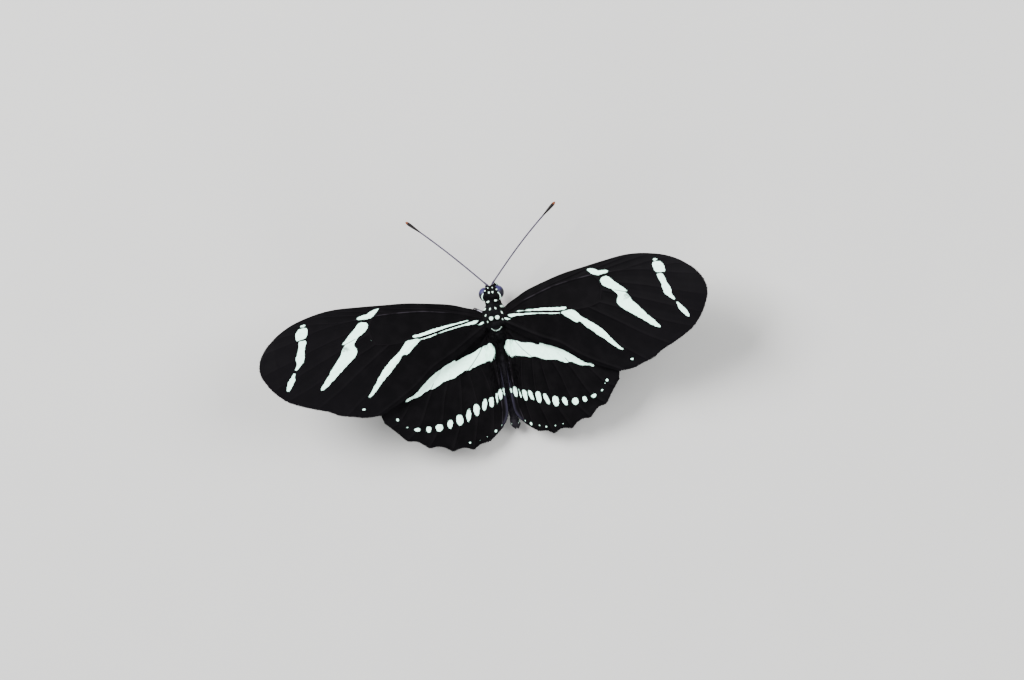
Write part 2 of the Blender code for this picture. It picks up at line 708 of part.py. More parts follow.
def make_abdomen(group, material):
    """The abdomen: eight rings with a shallow dip between each two, and a pair of claspers behind."""
    points = []
    radii = []
    length = ABDOMEN_END - ABDOMEN_START
    for ring in range(ABDOMEN_RINGS):
        for share in (0.0, 0.3, 0.75):
            t = (ring + share) / ABDOMEN_RINGS
            height = ABDOMEN_HEIGHTS[ring] + (ABDOMEN_HEIGHTS[ring + 1] - ABDOMEN_HEIGHTS[ring]) * share
            radius = ABDOMEN_RADII[ring] + (ABDOMEN_RADII[ring + 1] - ABDOMEN_RADII[ring]) * share
            dip = ABDOMEN_RING_DIP if share == 0.0 and ring > 0 else 0.0
            points.append((ABDOMEN_LEAN * t ** 2, ABDOMEN_START + length * t, height))
            radii.append(radius - dip)
    points.append((ABDOMEN_LEAN, ABDOMEN_END, ABDOMEN_HEIGHTS[-1]))
    radii.append(ABDOMEN_RADII[-1])
    tube = make_tube("abdomen_form", points, radii, 12, group)
    pieces = []
    for side in (-1.0, 1.0):
        centre = (
            ABDOMEN_LEAN + side * CLASPER_SIDE,
            ABDOMEN_END + CLASPER_FORWARD,
            ABDOMEN_HEIGHTS[-1] - CLASPER_DROP,
        )
        pieces.append(make_egg("clasper", centre, CLASPER_SIZE, 10, 6, group))
    return fuse("abdomen", tube, pieces, group, material)


def make_leg(name, group, material):
    """A walking leg in the floor's frame: thigh, shin, and a foot that lies flat on the floor."""
    hip, knee, ankle, toe = LEGS[name]
    outward = (Vector(knee) - Vector(hip)).normalized()
    hip = on_floor(Vector(hip) + outward * (HIP_STUB_LENGTH + GAP))
    knee = on_floor(knee)
    ankle = Vector((ankle[0], ankle[1] + FORWARD_SHIFT, LEG_TARSUS_HEIGHT))
    toe = Vector((toe[0], toe[1] + FORWARD_SHIFT, LEG_TARSUS_HEIGHT))
    thigh = make_tube(
        "thigh", [hip, hip.lerp(knee, 0.25), hip.lerp(knee, 0.6), knee],
        [LEG_JOINT_RADIUS, LEG_FEMUR_RADIUS, LEG_FEMUR_RADIUS, LEG_JOINT_RADIUS], 8, group,
    )
    shin = make_tube(
        "shin", [knee, knee.lerp(ankle, 0.3), knee.lerp(ankle, 0.8), ankle],
        [LEG_JOINT_RADIUS, LEG_TIBIA_RADIUS, LEG_TIBIA_RADIUS, LEG_JOINT_RADIUS], 8, group,
    )
    foot = make_tube(
        "foot", [ankle, ankle.lerp(toe, 0.15), ankle.lerp(toe, 0.85), toe],
        [LEG_JOINT_RADIUS, LEG_TARSUS_RADIUS, LEG_TARSUS_RADIUS, LEG_TARSUS_RADIUS * 0.8], 8, group,
    )
    joints = [
        make_egg("knee", knee, (KNEE_RADIUS,) * 3, 8, 6, group),
        make_egg("ankle", ankle, (ANKLE_RADIUS,) * 3, 8, 6, group),
    ]
    floor = make_block(
        name + "_floor", (-CUT_REACH, -CUT_REACH, -CUT_REACH), (CUT_REACH, CUT_REACH, 0.0),
        0.0, (0.0, 0.0, 0.0), cutter_group(),
    )
    return fuse(name, thigh, [shin, foot] + joints, group, material, [floor])


def make_foreleg(name, side, group, material):
    """A foreleg: small, brush-like and folded under the neck, as this family has it."""
    points = smooth_path([(side * x, y, z) for x, y, z in FORELEG_PATH], 2)
    radii = []
    for start, end in zip(FORELEG_RADII, FORELEG_RADII[1:]):
        radii += [start, (start + end) / 2.0]
    radii.append(FORELEG_RADII[-1])
    tube = make_tube(name + "_form", points, radii, 8, group)
    return fuse(name, tube, [], group, material)


def main():
    """Build every node, and stand the butterfly on the floor."""
    clear_scene()
    group = new_collection("zebra_longwing")
    finish = {name: make_finish(name) for name in FINISHES}
    stance = bpy.data.objects.new("stance", None)
    stance.matrix_world = tip_and_stand()
    group.objects.link(stance)

    nodes = [
        make_thorax(group, finish["body_black"]),
        make_head(group, finish["body_black"]),
        make_abdomen(group, finish["body_black"]),
        make_proboscis(group, finish["proboscis"]),
    ]
    for name, side in (("left", -1.0), ("right", 1.0)):
        nodes.append(make_wing(
            "forewing_" + name, side, forewing_margin(), FOREWING_VEINS, forewing_height,
            group, finish["wing_black"],
        ))
        nodes.append(make_wing(
            "hindwing_" + name, side, hindwing_margin(), HINDWING_VEINS, hindwing_height,
            group, finish["wing_black"],
        ))
        nodes.append(make_eye("eye_" + name, side, group, finish["eye"]))
        nodes.append(make_antenna("antenna_" + name, side, group, finish["antenna"]))
        nodes.append(make_palp("palp_" + name, side, group, finish["body_black"]))
        nodes.append(make_foreleg("foreleg_" + name, side, group, finish["leg"]))
    for node in nodes:
        node.parent = stance
    for name in LEGS:
        make_leg(name, group, finish["leg"])
    bpy.context.view_layer.update()


main()
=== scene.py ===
# %% [markdown]
# # A zebra longwing butterfly, finished as a museum model
# The solids of a life-size butterfly are loaded as a fixed frame, and every surface is then made
# finer and coloured. All lengths below are millimetres in the butterfly's own frame: X to its
# right, Y to its head, Z up from the top of the thorax. One matrix tips that frame head up and
# stands it over the floor in metres, so each piece is modelled level and stood up last.

# %% Load the frame
import math

import bpy
import numpy as np
from mathutils import Matrix, Vector


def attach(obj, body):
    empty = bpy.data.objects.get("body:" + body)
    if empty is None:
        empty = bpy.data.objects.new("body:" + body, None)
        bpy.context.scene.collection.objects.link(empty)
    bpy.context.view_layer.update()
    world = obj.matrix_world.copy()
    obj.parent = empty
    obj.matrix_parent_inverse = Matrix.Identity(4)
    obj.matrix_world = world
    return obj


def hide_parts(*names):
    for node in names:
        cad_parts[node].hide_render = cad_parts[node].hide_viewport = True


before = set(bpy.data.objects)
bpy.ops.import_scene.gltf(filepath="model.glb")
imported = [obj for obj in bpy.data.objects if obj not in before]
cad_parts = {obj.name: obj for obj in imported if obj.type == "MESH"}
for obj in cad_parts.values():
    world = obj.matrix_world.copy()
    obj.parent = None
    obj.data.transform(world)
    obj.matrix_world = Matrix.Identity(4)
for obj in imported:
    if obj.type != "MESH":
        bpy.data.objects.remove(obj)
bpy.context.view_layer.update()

MM = 0.001
PITCH = math.radians(8.0)
BACK_HEIGHT = 8.0
FORWARD_SHIFT = 0.68
STANCE = (
    Matrix.Translation((0.0, FORWARD_SHIFT * MM, BACK_HEIGHT * MM))
    @ Matrix.Rotation(PITCH, 4, "X")
    @ Matrix.Scale(MM, 4)
)

# %% [markdown]
# ## The camera
# The photo looks down on the back from about 74 degrees above the floor, a little from the right
# and from behind, and it is turned so that the head points slightly left of straight up. A camera
# is a position and three axes: right, up and back. They are worked out here from three small
# angles, and a long lens far away keeps the wings free of perspective, as the photo's lens does.

# %% Camera
SIDE_TILT = math.radians(12.8)
BACK_TILT = -0.02
CAMERA_ROLL = math.radians(10.5)
CAMERA_DISTANCE = 1600.0
PIXELS_PER_MM = 5.5
IMAGE_WIDTH = 1024
IMAGE_HEIGHT = 680
BACK_PIXEL = (493.1, 320.2)
SENSOR_WIDTH = 36.0


def camera_axes():
    """The camera's right, up and back directions in the floor's frame."""
    back = Vector((math.sin(SIDE_TILT), BACK_TILT, 0.0))
    back.z = math.sqrt(1.0 - back.length_squared)
    flat_right = (Vector((1.0, 0.0, 0.0)) - back * back.x).normalized()
    flat_up = back.cross(flat_right)
    right = math.cos(CAMERA_ROLL) * flat_right - math.sin(CAMERA_ROLL) * flat_up
    up = math.sin(CAMERA_ROLL) * flat_right + math.cos(CAMERA_ROLL) * flat_up
    turn = Matrix.Rotation(PITCH, 3, "X")
    return turn @ right, turn @ up, turn @ back


def add_camera():
    """The camera at the photo's viewing angle, with the photo's framing."""
    right, up, back = camera_axes()
    aim = STANCE @ Vector((0.0, 0.0, 0.0))
    aim += right * (IMAGE_WIDTH / 2 - BACK_PIXEL[0]) / PIXELS_PER_MM * MM
    aim -= up * (IMAGE_HEIGHT / 2 - BACK_PIXEL[1]) / PIXELS_PER_MM * MM
    data = bpy.data.cameras.new("camera")
    data.sensor_width = SENSOR_WIDTH
    data.lens = PIXELS_PER_MM * CAMERA_DISTANCE / IMAGE_WIDTH * SENSOR_WIDTH
    data.clip_start = 0.05
    data.clip_end = 20.0
    camera = bpy.data.objects.new("camera", data)
    place = aim + back * CAMERA_DISTANCE * MM
    axes = Matrix((right, up, back)).transposed().to_4x4()
    camera.matrix_world = Matrix.Translation(place) @ axes
    bpy.context.scene.collection.objects.link(camera)
    bpy.context.scene.camera = camera
    return camera


camera = add_camera()
elevation = math.degrees(math.asin(camera_axes()[2].z))
print("lens", round(camera.data.lens, 1), "mm, elevation", round(elevation, 1))

# %% [markdown]
# ## Shader helpers
# A material is a graph of nodes, and its maths is easier to read as Python. The class below wraps
# one output socket: adding or multiplying two of them, or one and a number, adds the Math node
# that does it. A second class holds the material and adds any other node from its type, its
# settings and the values or links of its sockets.

# %% Shader helpers


class Wire:
    """One output socket of a material, usable in arithmetic."""

    def __init__(self, paint, socket):
        self.paint = paint
        self.socket = socket

    def math(self, operation, *values):
        return self.paint.node("ShaderNodeMath", {"operation": operation}, dict(enumerate(values)))

    def __add__(self, other):
        return self.math("ADD", self, other)

    __radd__ = __add__

    def __sub__(self, other):
        return self.math("SUBTRACT", self, other)

    def __rsub__(self, other):
        return self.math("SUBTRACT", other, self)

    def __mul__(self, other):
        return self.math("MULTIPLY", self, other)

    def size(self):
        """Its value without the sign."""
        return self.math("ABSOLUTE", self)

    def above(self, low, high):
        """0 below the low value, 1 above the high one, and smooth between them."""
        settings = {"interpolation_type": "SMOOTHSTEP"}
        return self.paint.node("ShaderNodeMapRange", settings, {0: self, 1: low, 2: high, 3: 0.0, 4: 1.0})

    def below(self, low, high):
        """1 below the low value, 0 above the high one, and smooth between them."""
        return 1.0 - self.above(low, high)


class Paint:
    """A material under construction."""

    def __init__(self, name):
        self.material = bpy.data.materials.new(name)
        self.material.use_nodes = True
        self.tree = self.material.node_tree
        self.tree.nodes.clear()
        self.place = self.node("ShaderNodeTexCoord", output="Object")

    def node(self, kind, settings=None, inputs=None, output=0):
        """Add a node: its settings first, then the values or links of its sockets."""
        node = self.tree.nodes.new(kind)
        for key, value in (settings or {}).items():
            setattr(node, key, value)
        for key, value in (inputs or {}).items():
            if isinstance(value, Wire):
                self.tree.links.new(value.socket, node.inputs[key])
            else:
                node.inputs[key].default_value = value
        return Wire(self, node.outputs[output])

    def own(self, name):
        """A number that the mesh carries at its points."""
        return self.node("ShaderNodeAttribute", {"attribute_name": name}, output="Fac")

    def noise(self, grain, detail=2.0):
        """Noise whose features are about one grain across, in millimetres."""
        inputs = {"Vector": self.place, "Scale": 1.0 / (grain * MM), "Detail": detail}
        return self.node("ShaderNodeTexNoise", {}, inputs)

    def mix(self, share, first, second):
        """A colour between two."""
        inputs = {0: share, 6: first, 7: second}
        return self.node("ShaderNodeMix", {"data_type": "RGBA"}, inputs, output=2)

    def bump(self, height, strength, depth):
        """A normal that follows a height pattern, with its depth in millimetres."""
        inputs = {"Height": height, "Strength": strength, "Distance": depth * MM}
        return self.node("ShaderNodeBump", {}, inputs)

    def finish(self, inputs):
        """Close the graph with a Principled shader."""
        surface = self.node("ShaderNodeBsdfPrincipled", {}, inputs)
        end = self.tree.nodes.new("ShaderNodeOutputMaterial")
        self.tree.links.new(surface.socket, end.inputs["Surface"])
        return self.material


def tone(red, green, blue):
    """A colour in linear light."""
    return (red, green, blue, 1.0)

# %% [markdown]
# ## Floor and light
# A museum photographs a specimen on a pale sheet under large soft lamps, so that dark velvet still
# shows its form. One broad lamp hangs high on the left, a weaker one fills from the right, and a
# low one behind the tail draws a thin light along the edges.

# %% Floor
FLOOR_SIZE = 6.0


def floor_finish():
    """Matt pale card."""
    paint = Paint("floor_card")
    colour = paint.mix(paint.noise(30.0, 3.0), tone(0.305, 0.30195, 0.29585), tone(0.325, 0.32175, 0.31525))
    return paint.finish({"Base Color": colour, "Roughness": 0.9})


bpy.ops.object.select_all(action="DESELECT")
bpy.ops.mesh.primitive_plane_add(size=FLOOR_SIZE, location=(0.0, 0.0, 0.0))
floor = bpy.context.object
floor.name = "floor"
floor.data.materials.append(floor_finish())

# %% Lamps
LAMPS = {
    "key": ((-0.32, 0.30, 0.62), 0.42, 20.0),
    "fill": ((0.50, 0.05, 0.45), 0.40, 6.9),
    "rim": ((0.05, -0.60, 0.30), 0.35, 3.7),
}
WORLD_LIGHT = 1.08


def add_lamp(name, place, width, power):
    """A square soft lamp that faces the butterfly."""
    data = bpy.data.lights.new(name, "AREA")
    data.size = width
    data.energy = power
    lamp = bpy.data.objects.new(name, data)
    lamp.location = place
    lamp.rotation_euler = Vector(place).to_track_quat("Z", "Y").to_euler()
    bpy.context.scene.collection.objects.link(lamp)


for lamp_name, (lamp_place, lamp_width, lamp_power) in LAMPS.items():
    add_lamp(lamp_name, lamp_place, lamp_width, lamp_power)
world = bpy.data.worlds.new("soft_room")
world.use_nodes = True
world.node_tree.nodes["Background"].inputs["Color"].default_value = tone(0.96, 0.98, 1.0)
world.node_tree.nodes["Background"].inputs["Strength"].default_value = WORLD_LIGHT
bpy.context.scene.world = world

# %% [markdown]
# ## Lines and distances
# Wings are drawn as lines seen from above: their margins, their veins and the outlines of their
# pale marks. One helper lays evenly spaced points on a smooth curve through a few given ones. The
# others measure how far every point of a mesh lies from a line or inside an outline, which is
# later stored on the mesh for the material to read.

# %% Lines and distances
FINE_STEPS = 24
FAR_AWAY = 1e3
LEAST_RISE = 1e-9


def smooth_line(points, count):
    """Evenly spaced points on a smooth curve through a few."""
    given = np.asarray(points, float)
    padded = np.vstack([given[:1], given, given[-1:]])
    t = np.linspace(0.0, 1.0, FINE_STEPS, endpoint=False)[:, None]
    pieces = []
    for before, start, end, after in zip(padded, padded[1:], padded[2:], padded[3:]):
        pieces.append(0.5 * (
            2.0 * start + (end - before) * t
            + (2.0 * before - 5.0 * start + 4.0 * end - after) * t ** 2
            + (3.0 * start - before - 3.0 * end + after) * t ** 3
        ))
    fine = np.vstack(pieces + [given[-1:]])
    steps = np.linalg.norm(np.diff(fine, axis=0), axis=1)
    place = np.concatenate([[0.0], np.cumsum(steps)])
    wanted = np.linspace(0.0, place[-1], count)
    return np.column_stack([np.interp(wanted, place, column) for column in fine.T])


def line_distance(points, line):
    """How far each point lies from a line, with a sign for the side, and how far along it."""
    nearest = np.full(len(points), FAR_AWAY)
    signed = np.full(len(points), FAR_AWAY)
    along_share = np.zeros(len(points))
    count = len(line) - 1
    for index, (start, end) in enumerate(zip(line, line[1:])):
        along = end - start
        away = points - start
        share = np.clip(away @ along / (along @ along), 0.0, 1.0)
        gap = np.linalg.norm(away - share[:, None] * along, axis=1)
        side = np.sign(along[0] * away[:, 1] - along[1] * away[:, 0])
        closer = gap < nearest
        nearest[closer] = gap[closer]
        signed[closer] = (gap * side)[closer]
        along_share[closer] = ((index + share) / count)[closer]
    return nearest, signed, along_share


def nearest_of(measures):
    """The distance and the signed distance of the nearest of several measured lines."""
    gaps, signed, _ = (np.array(rows) for rows in zip(*measures))
    nearest = gaps.argmin(axis=0)[None]
    return [np.take_along_axis(rows, nearest, 0)[0] for rows in (gaps, signed)]


def depth_inside(points, outline):
    """How far inside an outline each point lies, less than zero outside."""
    closed = np.array([*outline, outline[0]], float)
    nearest = line_distance(points, closed)[0]
    inside = np.zeros(len(points), bool)
    for start, end in zip(closed, closed[1:]):
        along = end - start
        rise = along[1] if abs(along[1]) > LEAST_RISE else LEAST_RISE
        crossing = start[0] + along[0] * (points[:, 1] - start[1]) / rise
        inside ^= ((start[1] > points[:, 1]) != (end[1] > points[:, 1])) & (points[:, 0] < crossing)
    return np.where(inside, nearest, -nearest)

# %% [markdown]
# ## Finishing a piece
# Every piece ends the same way: its mesh is stood up by the matrix, it gets its material and smooth
# shading, it rides on the model's one body, and it takes the place of the plain solids it stands
# for. Numbers that the material needs are stored on the points of the mesh.

# %% Finish a piece


def store(mesh, name, values):
    """Keep one number for each point of a mesh."""
    layer = mesh.attributes.new(name, "FLOAT", "POINT")
    layer.data.foreach_set("value", np.asarray(values, np.float32))


def read(elements, name, width=3):
    """One property of all points or faces of a mesh, as rows of numbers."""
    values = np.empty(len(elements) * width, np.float32)
    elements.foreach_get(name, values)
    return values.reshape(-1, width).astype(float)


def point_places(mesh):
    """The points of a mesh as rows of X, Y, Z."""
    return read(mesh.vertices, "co")


def move_points(mesh, places):
    """Give the points of a mesh new places."""
    mesh.vertices.foreach_set("co", np.asarray(places, np.float32).ravel())
    mesh.update()


def settle(piece, name, material, nodes):
    """Stand a finished piece up and put it in the place of the solids it stands for."""
    piece.name = name
    piece.data.name = name
    piece.data.transform(STANCE)
    piece.data.materials.clear()
    piece.data.materials.append(material)
    piece.data.shade_smooth()
    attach(piece, "root")
    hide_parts(*nodes)
    piece.data.calc_loop_triangles()
    print(name, len(piece.data.loop_triangles), "triangles")


def pick(*pieces):
    """Select only these pieces, with the first one active."""
    bpy.ops.object.select_all(action="DESELECT")
    for piece in pieces:
        piece.select_set(True)
    bpy.context.view_layer.objects.active = pieces[0]


def join(pieces):
    """Join pieces into the first one."""
    pick(*pieces)
    bpy.ops.object.join()
    return pieces[0]


def apply_modifier(piece, kind, **settings):
    """Add a modifier with its settings, and apply it."""
    pick(piece)
    modifier = piece.modifiers.new(kind.lower(), kind)
    for key, value in settings.items():
        setattr(modifier, key, value)
    bpy.ops.object.modifier_apply(modifier=modifier.name)

# %% [markdown]
# ## Wing outlines, veins and marks
# A longwing's forewing is long and rounded, with one vein-framed cell in its inner half. The marks
# are areas of pale scales between the veins. They are drawn from above at their real size: a pair
# of thin stripes from the root that end in an oblique band, a broken band across the middle with a
# patch at the front edge, a chain of patches before the tip, and one dot. X runs out along the
# right wing, and the left wing is its mirror image.

# %% Forewing drawing
WING_LIFT = math.tan(math.radians(15.0))
FOREWING_ROOT = (2.4, -0.8)
FOREWING_BOW = 0.6
FOREWING_COSTA = [
    (1.9, 1.7), (3.2, 2.54), (4.8, 3.22), (7.4, 4.28), (11.5, 5.26), (15.0, 5.95), (19.0, 6.38),
    (23.0, 6.8), (27.0, 7.12), (30.0, 6.96), (33.0, 6.38), (35.5, 5.6), (37.9, 4.36), (39.8, 2.88),
]
FOREWING_OUTER = [
    (39.8, 2.88), (41.18, 1.2), (41.97, -0.5), (42.03, -2.3), (41.2, -4.3), (40.0, -6.1), (38.3, -7.8),
    (36.0, -9.1), (33.4, -10.2), (31.3, -11.0), (29.6, -12.0), (27.4, -12.6), (25.2, -13.2), (22.45, -13.3),
]
FOREWING_INNER = [
    (1.9, -1.5), (5.0, -3.7), (8.0, -5.55), (12.0, -7.4), (15.0, -9.65), (18.2, -11.5), (22.45, -13.3),
]
FOREWING_VEINS = [
    [(2.0, 1.1), (3.6, 1.7), (10.0, 3.9), (16.0, 5.2), (21.5, 6.5)],
    [(2.0, 0.7), (6.8, 2.6), (11.9, 3.9), (15.7, 4.4), (20.6, 4.7), (29.2, 4.2), (35.5, 2.6), (41.4, 1.3)],
    [(15.7, 4.4), (21.5, 5.7), (27.5, 6.9)],
    [(19.4, 4.65), (25.0, 5.6), (31.8, 6.5)],
    [(26.0, 4.5), (31.5, 5.2), (36.2, 5.3)],
    [(31.5, 3.8), (36.5, 4.0), (39.8, 3.2)],
    [(21.6, 3.4), (29.5, 1.4), (36.0, -0.7), (42.0, -2.6)],
    [(21.9, 1.7), (29.5, -1.2), (35.5, -3.6), (40.4, -5.5)],
    [(21.2, -0.4), (27.0, -3.0), (33.0, -5.8), (38.3, -7.8)],
    [(18.8, -0.9), (24.0, -4.3), (29.0, -7.7), (33.4, -10.2)],
    [(13.8, -0.9), (18.0, -4.1), (23.0, -8.2), (28.4, -12.3)],
    [
        (2.0, 0.2), (3.5, 0.62), (7.0, 0.3), (9.0, 0.0), (11.0, -0.35), (13.8, -0.9), (18.8, -0.9),
        (21.2, -0.4),
    ],
    [(20.6, 4.7), (21.6, 3.4), (21.9, 1.7), (21.2, -0.4)],
    [(2.0, -0.6), (8.0, -4.2), (12.0, -6.2), (15.5, -8.9), (19.0, -11.0), (23.4, -13.3)],
]
# the line of a thin painted sheen along the forewing's subcostal vein
FOREWING_SHEEN_LINE = [
    (6.5, 2.55), (9.0, 3.15), (11.0, 3.65), (12.7, 4.0), (15.5, 4.35), (18.0, 4.55), (20.0, 4.65),
    (24.0, 4.6),
]
FOREWING_MARKS = {
    "upper_stripe": [
        (3.9, 0.88), (5.0, 0.9), (7.0, 0.77), (8.5, 0.68), (10.0, 0.53), (11.0, 0.4), (12.0, 0.25),
        (13.0, 0.12), (14.0, 0.02), (14.55, -0.1), (14.8, -0.28), (14.45, -0.53), (13.6, -0.6),
        (12.6, -0.53), (11.5, -0.34), (10.0, -0.07), (9.0, 0.08), (8.0, 0.22), (7.0, 0.37), (6.0, 0.51),
        (5.0, 0.66), (4.3, 0.75),
    ],
    "lower_stripe": [
        (2.6, 0.55), (3.4, 0.61), (4.1, 0.57), (5.0, 0.4), (6.0, 0.24), (7.0, 0.12), (8.0, -0.02),
        (9.0, -0.17), (10.0, -0.36), (11.0, -0.56), (12.0, -0.72), (12.8, -0.82), (13.3, -0.9),
        (13.2, -1.13), (12.5, -1.15), (11.5, -0.97), (10.5, -0.76), (9.5, -0.57), (8.0, -0.36),
        (7.0, -0.22), (6.0, -0.15), (5.0, -0.11), (4.1, -0.1), (3.4, -0.08), (2.95, 0.15),
    ],
    "root_patch": [(1.9, 0.12), (2.5, 0.13), (3.0, -0.25), (3.0, -0.42), (2.5, -0.45), (2.0, -0.15)],
    "oblique_band": [
        (13.15, -1.0), (13.7, -0.82), (14.7, -0.75), (15.5, -0.77), (15.95, -0.95), (16.4, -1.4),
        (16.85, -1.95), (17.35, -2.5), (17.95, -2.88), (18.4, -3.3), (19.0, -3.7), (19.6, -4.2),
        (20.2, -4.75), (20.75, -5.3), (21.25, -5.9), (21.8, -6.6), (22.3, -7.3), (22.85, -8.0),
        (23.35, -8.7), (23.9, -9.3), (24.2, -9.65), (24.0, -9.82), (23.55, -9.68), (23.0, -9.3),
        (22.5, -8.8), (22.0, -8.35), (21.5, -7.9), (21.1, -7.45), (20.5, -6.95), (19.95, -6.5),
        (19.5, -6.1), (19.1, -5.65), (18.6, -5.2), (18.1, -4.75), (17.75, -4.5), (17.3, -3.9),
        (16.95, -3.4), (16.5, -3.2), (16.2, -3.35), (15.8, -3.2), (15.3, -2.8), (14.6, -2.25),
        (13.9, -1.7), (13.5, -1.3),
    ],
    "costal_patch": [
        (19.55, 5.95), (20.3, 5.93), (21.0, 5.75), (21.6, 5.5), (22.0, 5.28), (22.9, 5.2), (23.5, 5.03),
        (23.95, 4.75), (23.55, 4.48), (22.8, 4.35), (22.0, 4.33), (21.25, 4.4), (20.75, 4.65),
        (20.25, 5.05), (19.85, 5.45),
    ],
    "middle_band": [
        (21.9, 3.3), (22.15, 3.83), (22.8, 4.0), (23.35, 4.05), (23.75, 3.8), (24.3, 3.2), (25.0, 2.55),
        (25.75, 1.85), (26.4, 1.22), (27.0, 0.65), (27.2, 0.45), (26.9, 0.42), (26.4, 0.5), (26.9, 0.1),
        (27.2, -0.35), (27.4, -0.9), (27.75, -1.45), (28.4, -2.2), (29.05, -3.0), (29.7, -3.75),
        (30.35, -4.6), (31.0, -5.3), (31.55, -5.95), (32.05, -6.6), (32.2, -6.95), (31.9, -7.05),
        (31.3, -6.8), (30.45, -6.3), (29.55, -5.6), (28.6, -4.85), (27.65, -4.1), (26.75, -3.4),
        (25.85, -2.7), (25.1, -2.15), (24.65, -1.6), (24.42, -1.05), (24.55, -0.5), (24.85, -0.05),
        (24.8, 0.4), (24.35, 0.95), (23.75, 1.5), (23.15, 1.8), (22.5, 2.2), (22.1, 2.75),
    ],
    "tip_streak": [(32.65, 5.2), (32.95, 5.45), (33.5, 5.43), (34.0, 5.13), (33.7, 4.98), (33.1, 4.95)],
    "tip_patch_1": [
        (32.43, 4.35), (32.65, 4.8), (33.35, 4.93), (34.15, 4.8), (34.6, 4.35), (34.85, 3.75),
        (34.97, 2.95), (34.7, 2.62), (34.05, 2.68), (33.4, 2.8), (32.93, 2.93), (32.65, 3.55),
    ],
    "tip_patch_2": [
        (33.0, 2.65), (33.7, 2.65), (34.4, 2.45), (34.58, 1.85), (34.75, 1.1), (35.05, 0.4),
        (35.4, -0.25), (35.5, -0.8), (35.4, -1.4), (35.7, -2.05), (36.05, -2.55), (35.55, -2.6),
        (35.0, -2.15), (34.4, -1.7), (34.0, -1.2), (33.75, -0.5), (33.6, 0.2), (33.68, 0.55),
        (33.4, 1.3), (33.1, 2.0),
    ],
    "tip_spot": [
        (35.8, -2.95), (36.25, -2.95), (36.75, -3.5), (37.35, -4.2), (37.75, -4.85), (38.05, -5.65),
        (38.0, -6.08), (37.6, -6.1), (37.1, -5.65), (36.5, -4.9), (36.1, -4.2), (35.95, -3.5),
    ],
}
FOREWING_DOTS = {
    "right": [(25.35, -11.67, 0.70, 0.42, 0), (35.98, -2.78, 0.26, 0.80, 25)],
    "left": [(25.35, -11.67, 0.70, 0.48, 0), (21.8, 0.35, 0.22, 0.36, 0)],
}
FOREWING_CUTS = [[(2.0, 0.42), (3.3, -0.5)], [(24.6, 1.15), (25.8, 0.72), (27.1, 0.38)]]
FOREWING_DUSK = [(26.75, -0.25, 1.5, 2.6, -62)]
FOREWING_RED = [(3.0, -0.9, 0.7, 0.45, 0), (4.2, 0.0, 0.6, 0.35, 0)]

# %% [markdown]
# The hindwing has one broad pale band from its root, a row of spots before its margin, narrow
# between the body's veins and round further out, and a few tiny dots along a softly toothed edge.
# The spots follow one rule: a place, a width, a length and a lean, so they are listed that way and
# their outlines are worked out as ovals.

# %% Hindwing drawing
HINDWING_ROOT = (2.1, -2.0)
HINDWING_DROOP = 0.5
HINDWING_COSTA = [
    (1.3, -1.4), (5.0, -0.6), (10.0, -2.2), (15.0, -4.9), (19.0, -8.0), (21.6, -11.0), (22.5, -13.0),
    (22.25, -14.5),
]
HINDWING_TEETH = [(22.2, -14.6), (18.8, -18.6), (15.25, -20.55), (11.3, -21.85), (7.6, -22.2)]
HINDWING_BAYS = [(20.9, -16.1), (17.0, -19.1), (13.1, -20.7), (9.3, -21.6)]
HINDWING_CORNER = [(7.6, -22.2), (6.5, -21.55), (5.6, -21.4), (4.75, -21.3), (3.8, -20.75), (2.2, -19.4)]
HINDWING_INNER = [
    (0.9, -2.4), (0.7, -3.4), (0.5, -4.6), (0.5, -6.5), (0.5, -9.3), (0.45, -13.4), (0.55, -16.5),
    (1.1, -18.1), (2.2, -19.4),
]
HINDWING_VEINS = [
    [(2.0, -1.8), (8.0, -2.7), (15.0, -6.4), (22.3, -13.0)],
    [(4.4, -2.7), (9.5, -5.3), (15.5, -10.2), (19.2, -14.6), (21.2, -15.7)],
    [(9.5, -5.3), (13.2, -10.8), (16.1, -16.2), (18.8, -18.5)],
    [(8.9, -7.0), (11.0, -12.0), (12.4, -16.6), (15.2, -20.4)],
    [(7.6, -8.2), (8.1, -12.5), (8.9, -16.6), (11.3, -21.7)],
    [(6.2, -7.7), (5.7, -12.0), (5.8, -16.0), (7.6, -22.1)],
    [(4.6, -6.0), (3.4, -10.0), (3.0, -14.6), (3.9, -20.5)],
    [(2.0, -2.2), (4.6, -6.0), (6.2, -7.7), (7.6, -8.2), (8.9, -7.0), (9.5, -5.3)],
    [(1.9, -3.0), (1.6, -7.0), (1.3, -13.0), (1.6, -18.6)],
]
HINDWING_BAND = [
    (0.72, -5.1), (1.0, -4.5), (1.35, -4.05), (1.65, -3.85), (2.2, -4.05), (2.9, -4.12), (3.6, -4.4),
    (4.4, -4.8), (5.2, -5.05), (6.2, -5.25), (7.1, -5.6), (7.75, -5.88), (7.95, -5.85), (8.0, -5.6),
    (8.6, -5.75), (9.5, -6.15), (10.5, -6.6), (11.5, -7.1), (12.5, -7.7), (13.5, -8.4), (14.5, -9.2),
    (15.4, -9.95), (16.2, -10.6), (16.7, -10.8), (17.3, -10.9), (17.8, -11.2), (18.0, -11.6),
    (17.6, -11.75), (17.0, -11.45), (16.4, -11.25), (15.7, -11.2), (15.0, -10.95), (14.2, -10.5),
    (13.6, -10.2), (13.15, -10.1), (12.9, -10.2), (12.3, -10.05), (11.6, -9.7), (11.0, -9.4),
    (10.2, -9.12), (9.4, -9.0), (8.5, -8.85), (7.9, -8.55), (7.35, -8.25), (6.8, -7.98), (6.35, -7.9),
    (6.05, -7.98), (5.4, -7.8), (4.7, -7.6), (4.0, -7.4), (3.3, -7.25), (2.8, -7.05), (2.2, -7.1),
    (1.85, -7.12), (1.6, -6.95), (1.4, -6.6), (1.15, -6.15), (0.95, -5.7),
]
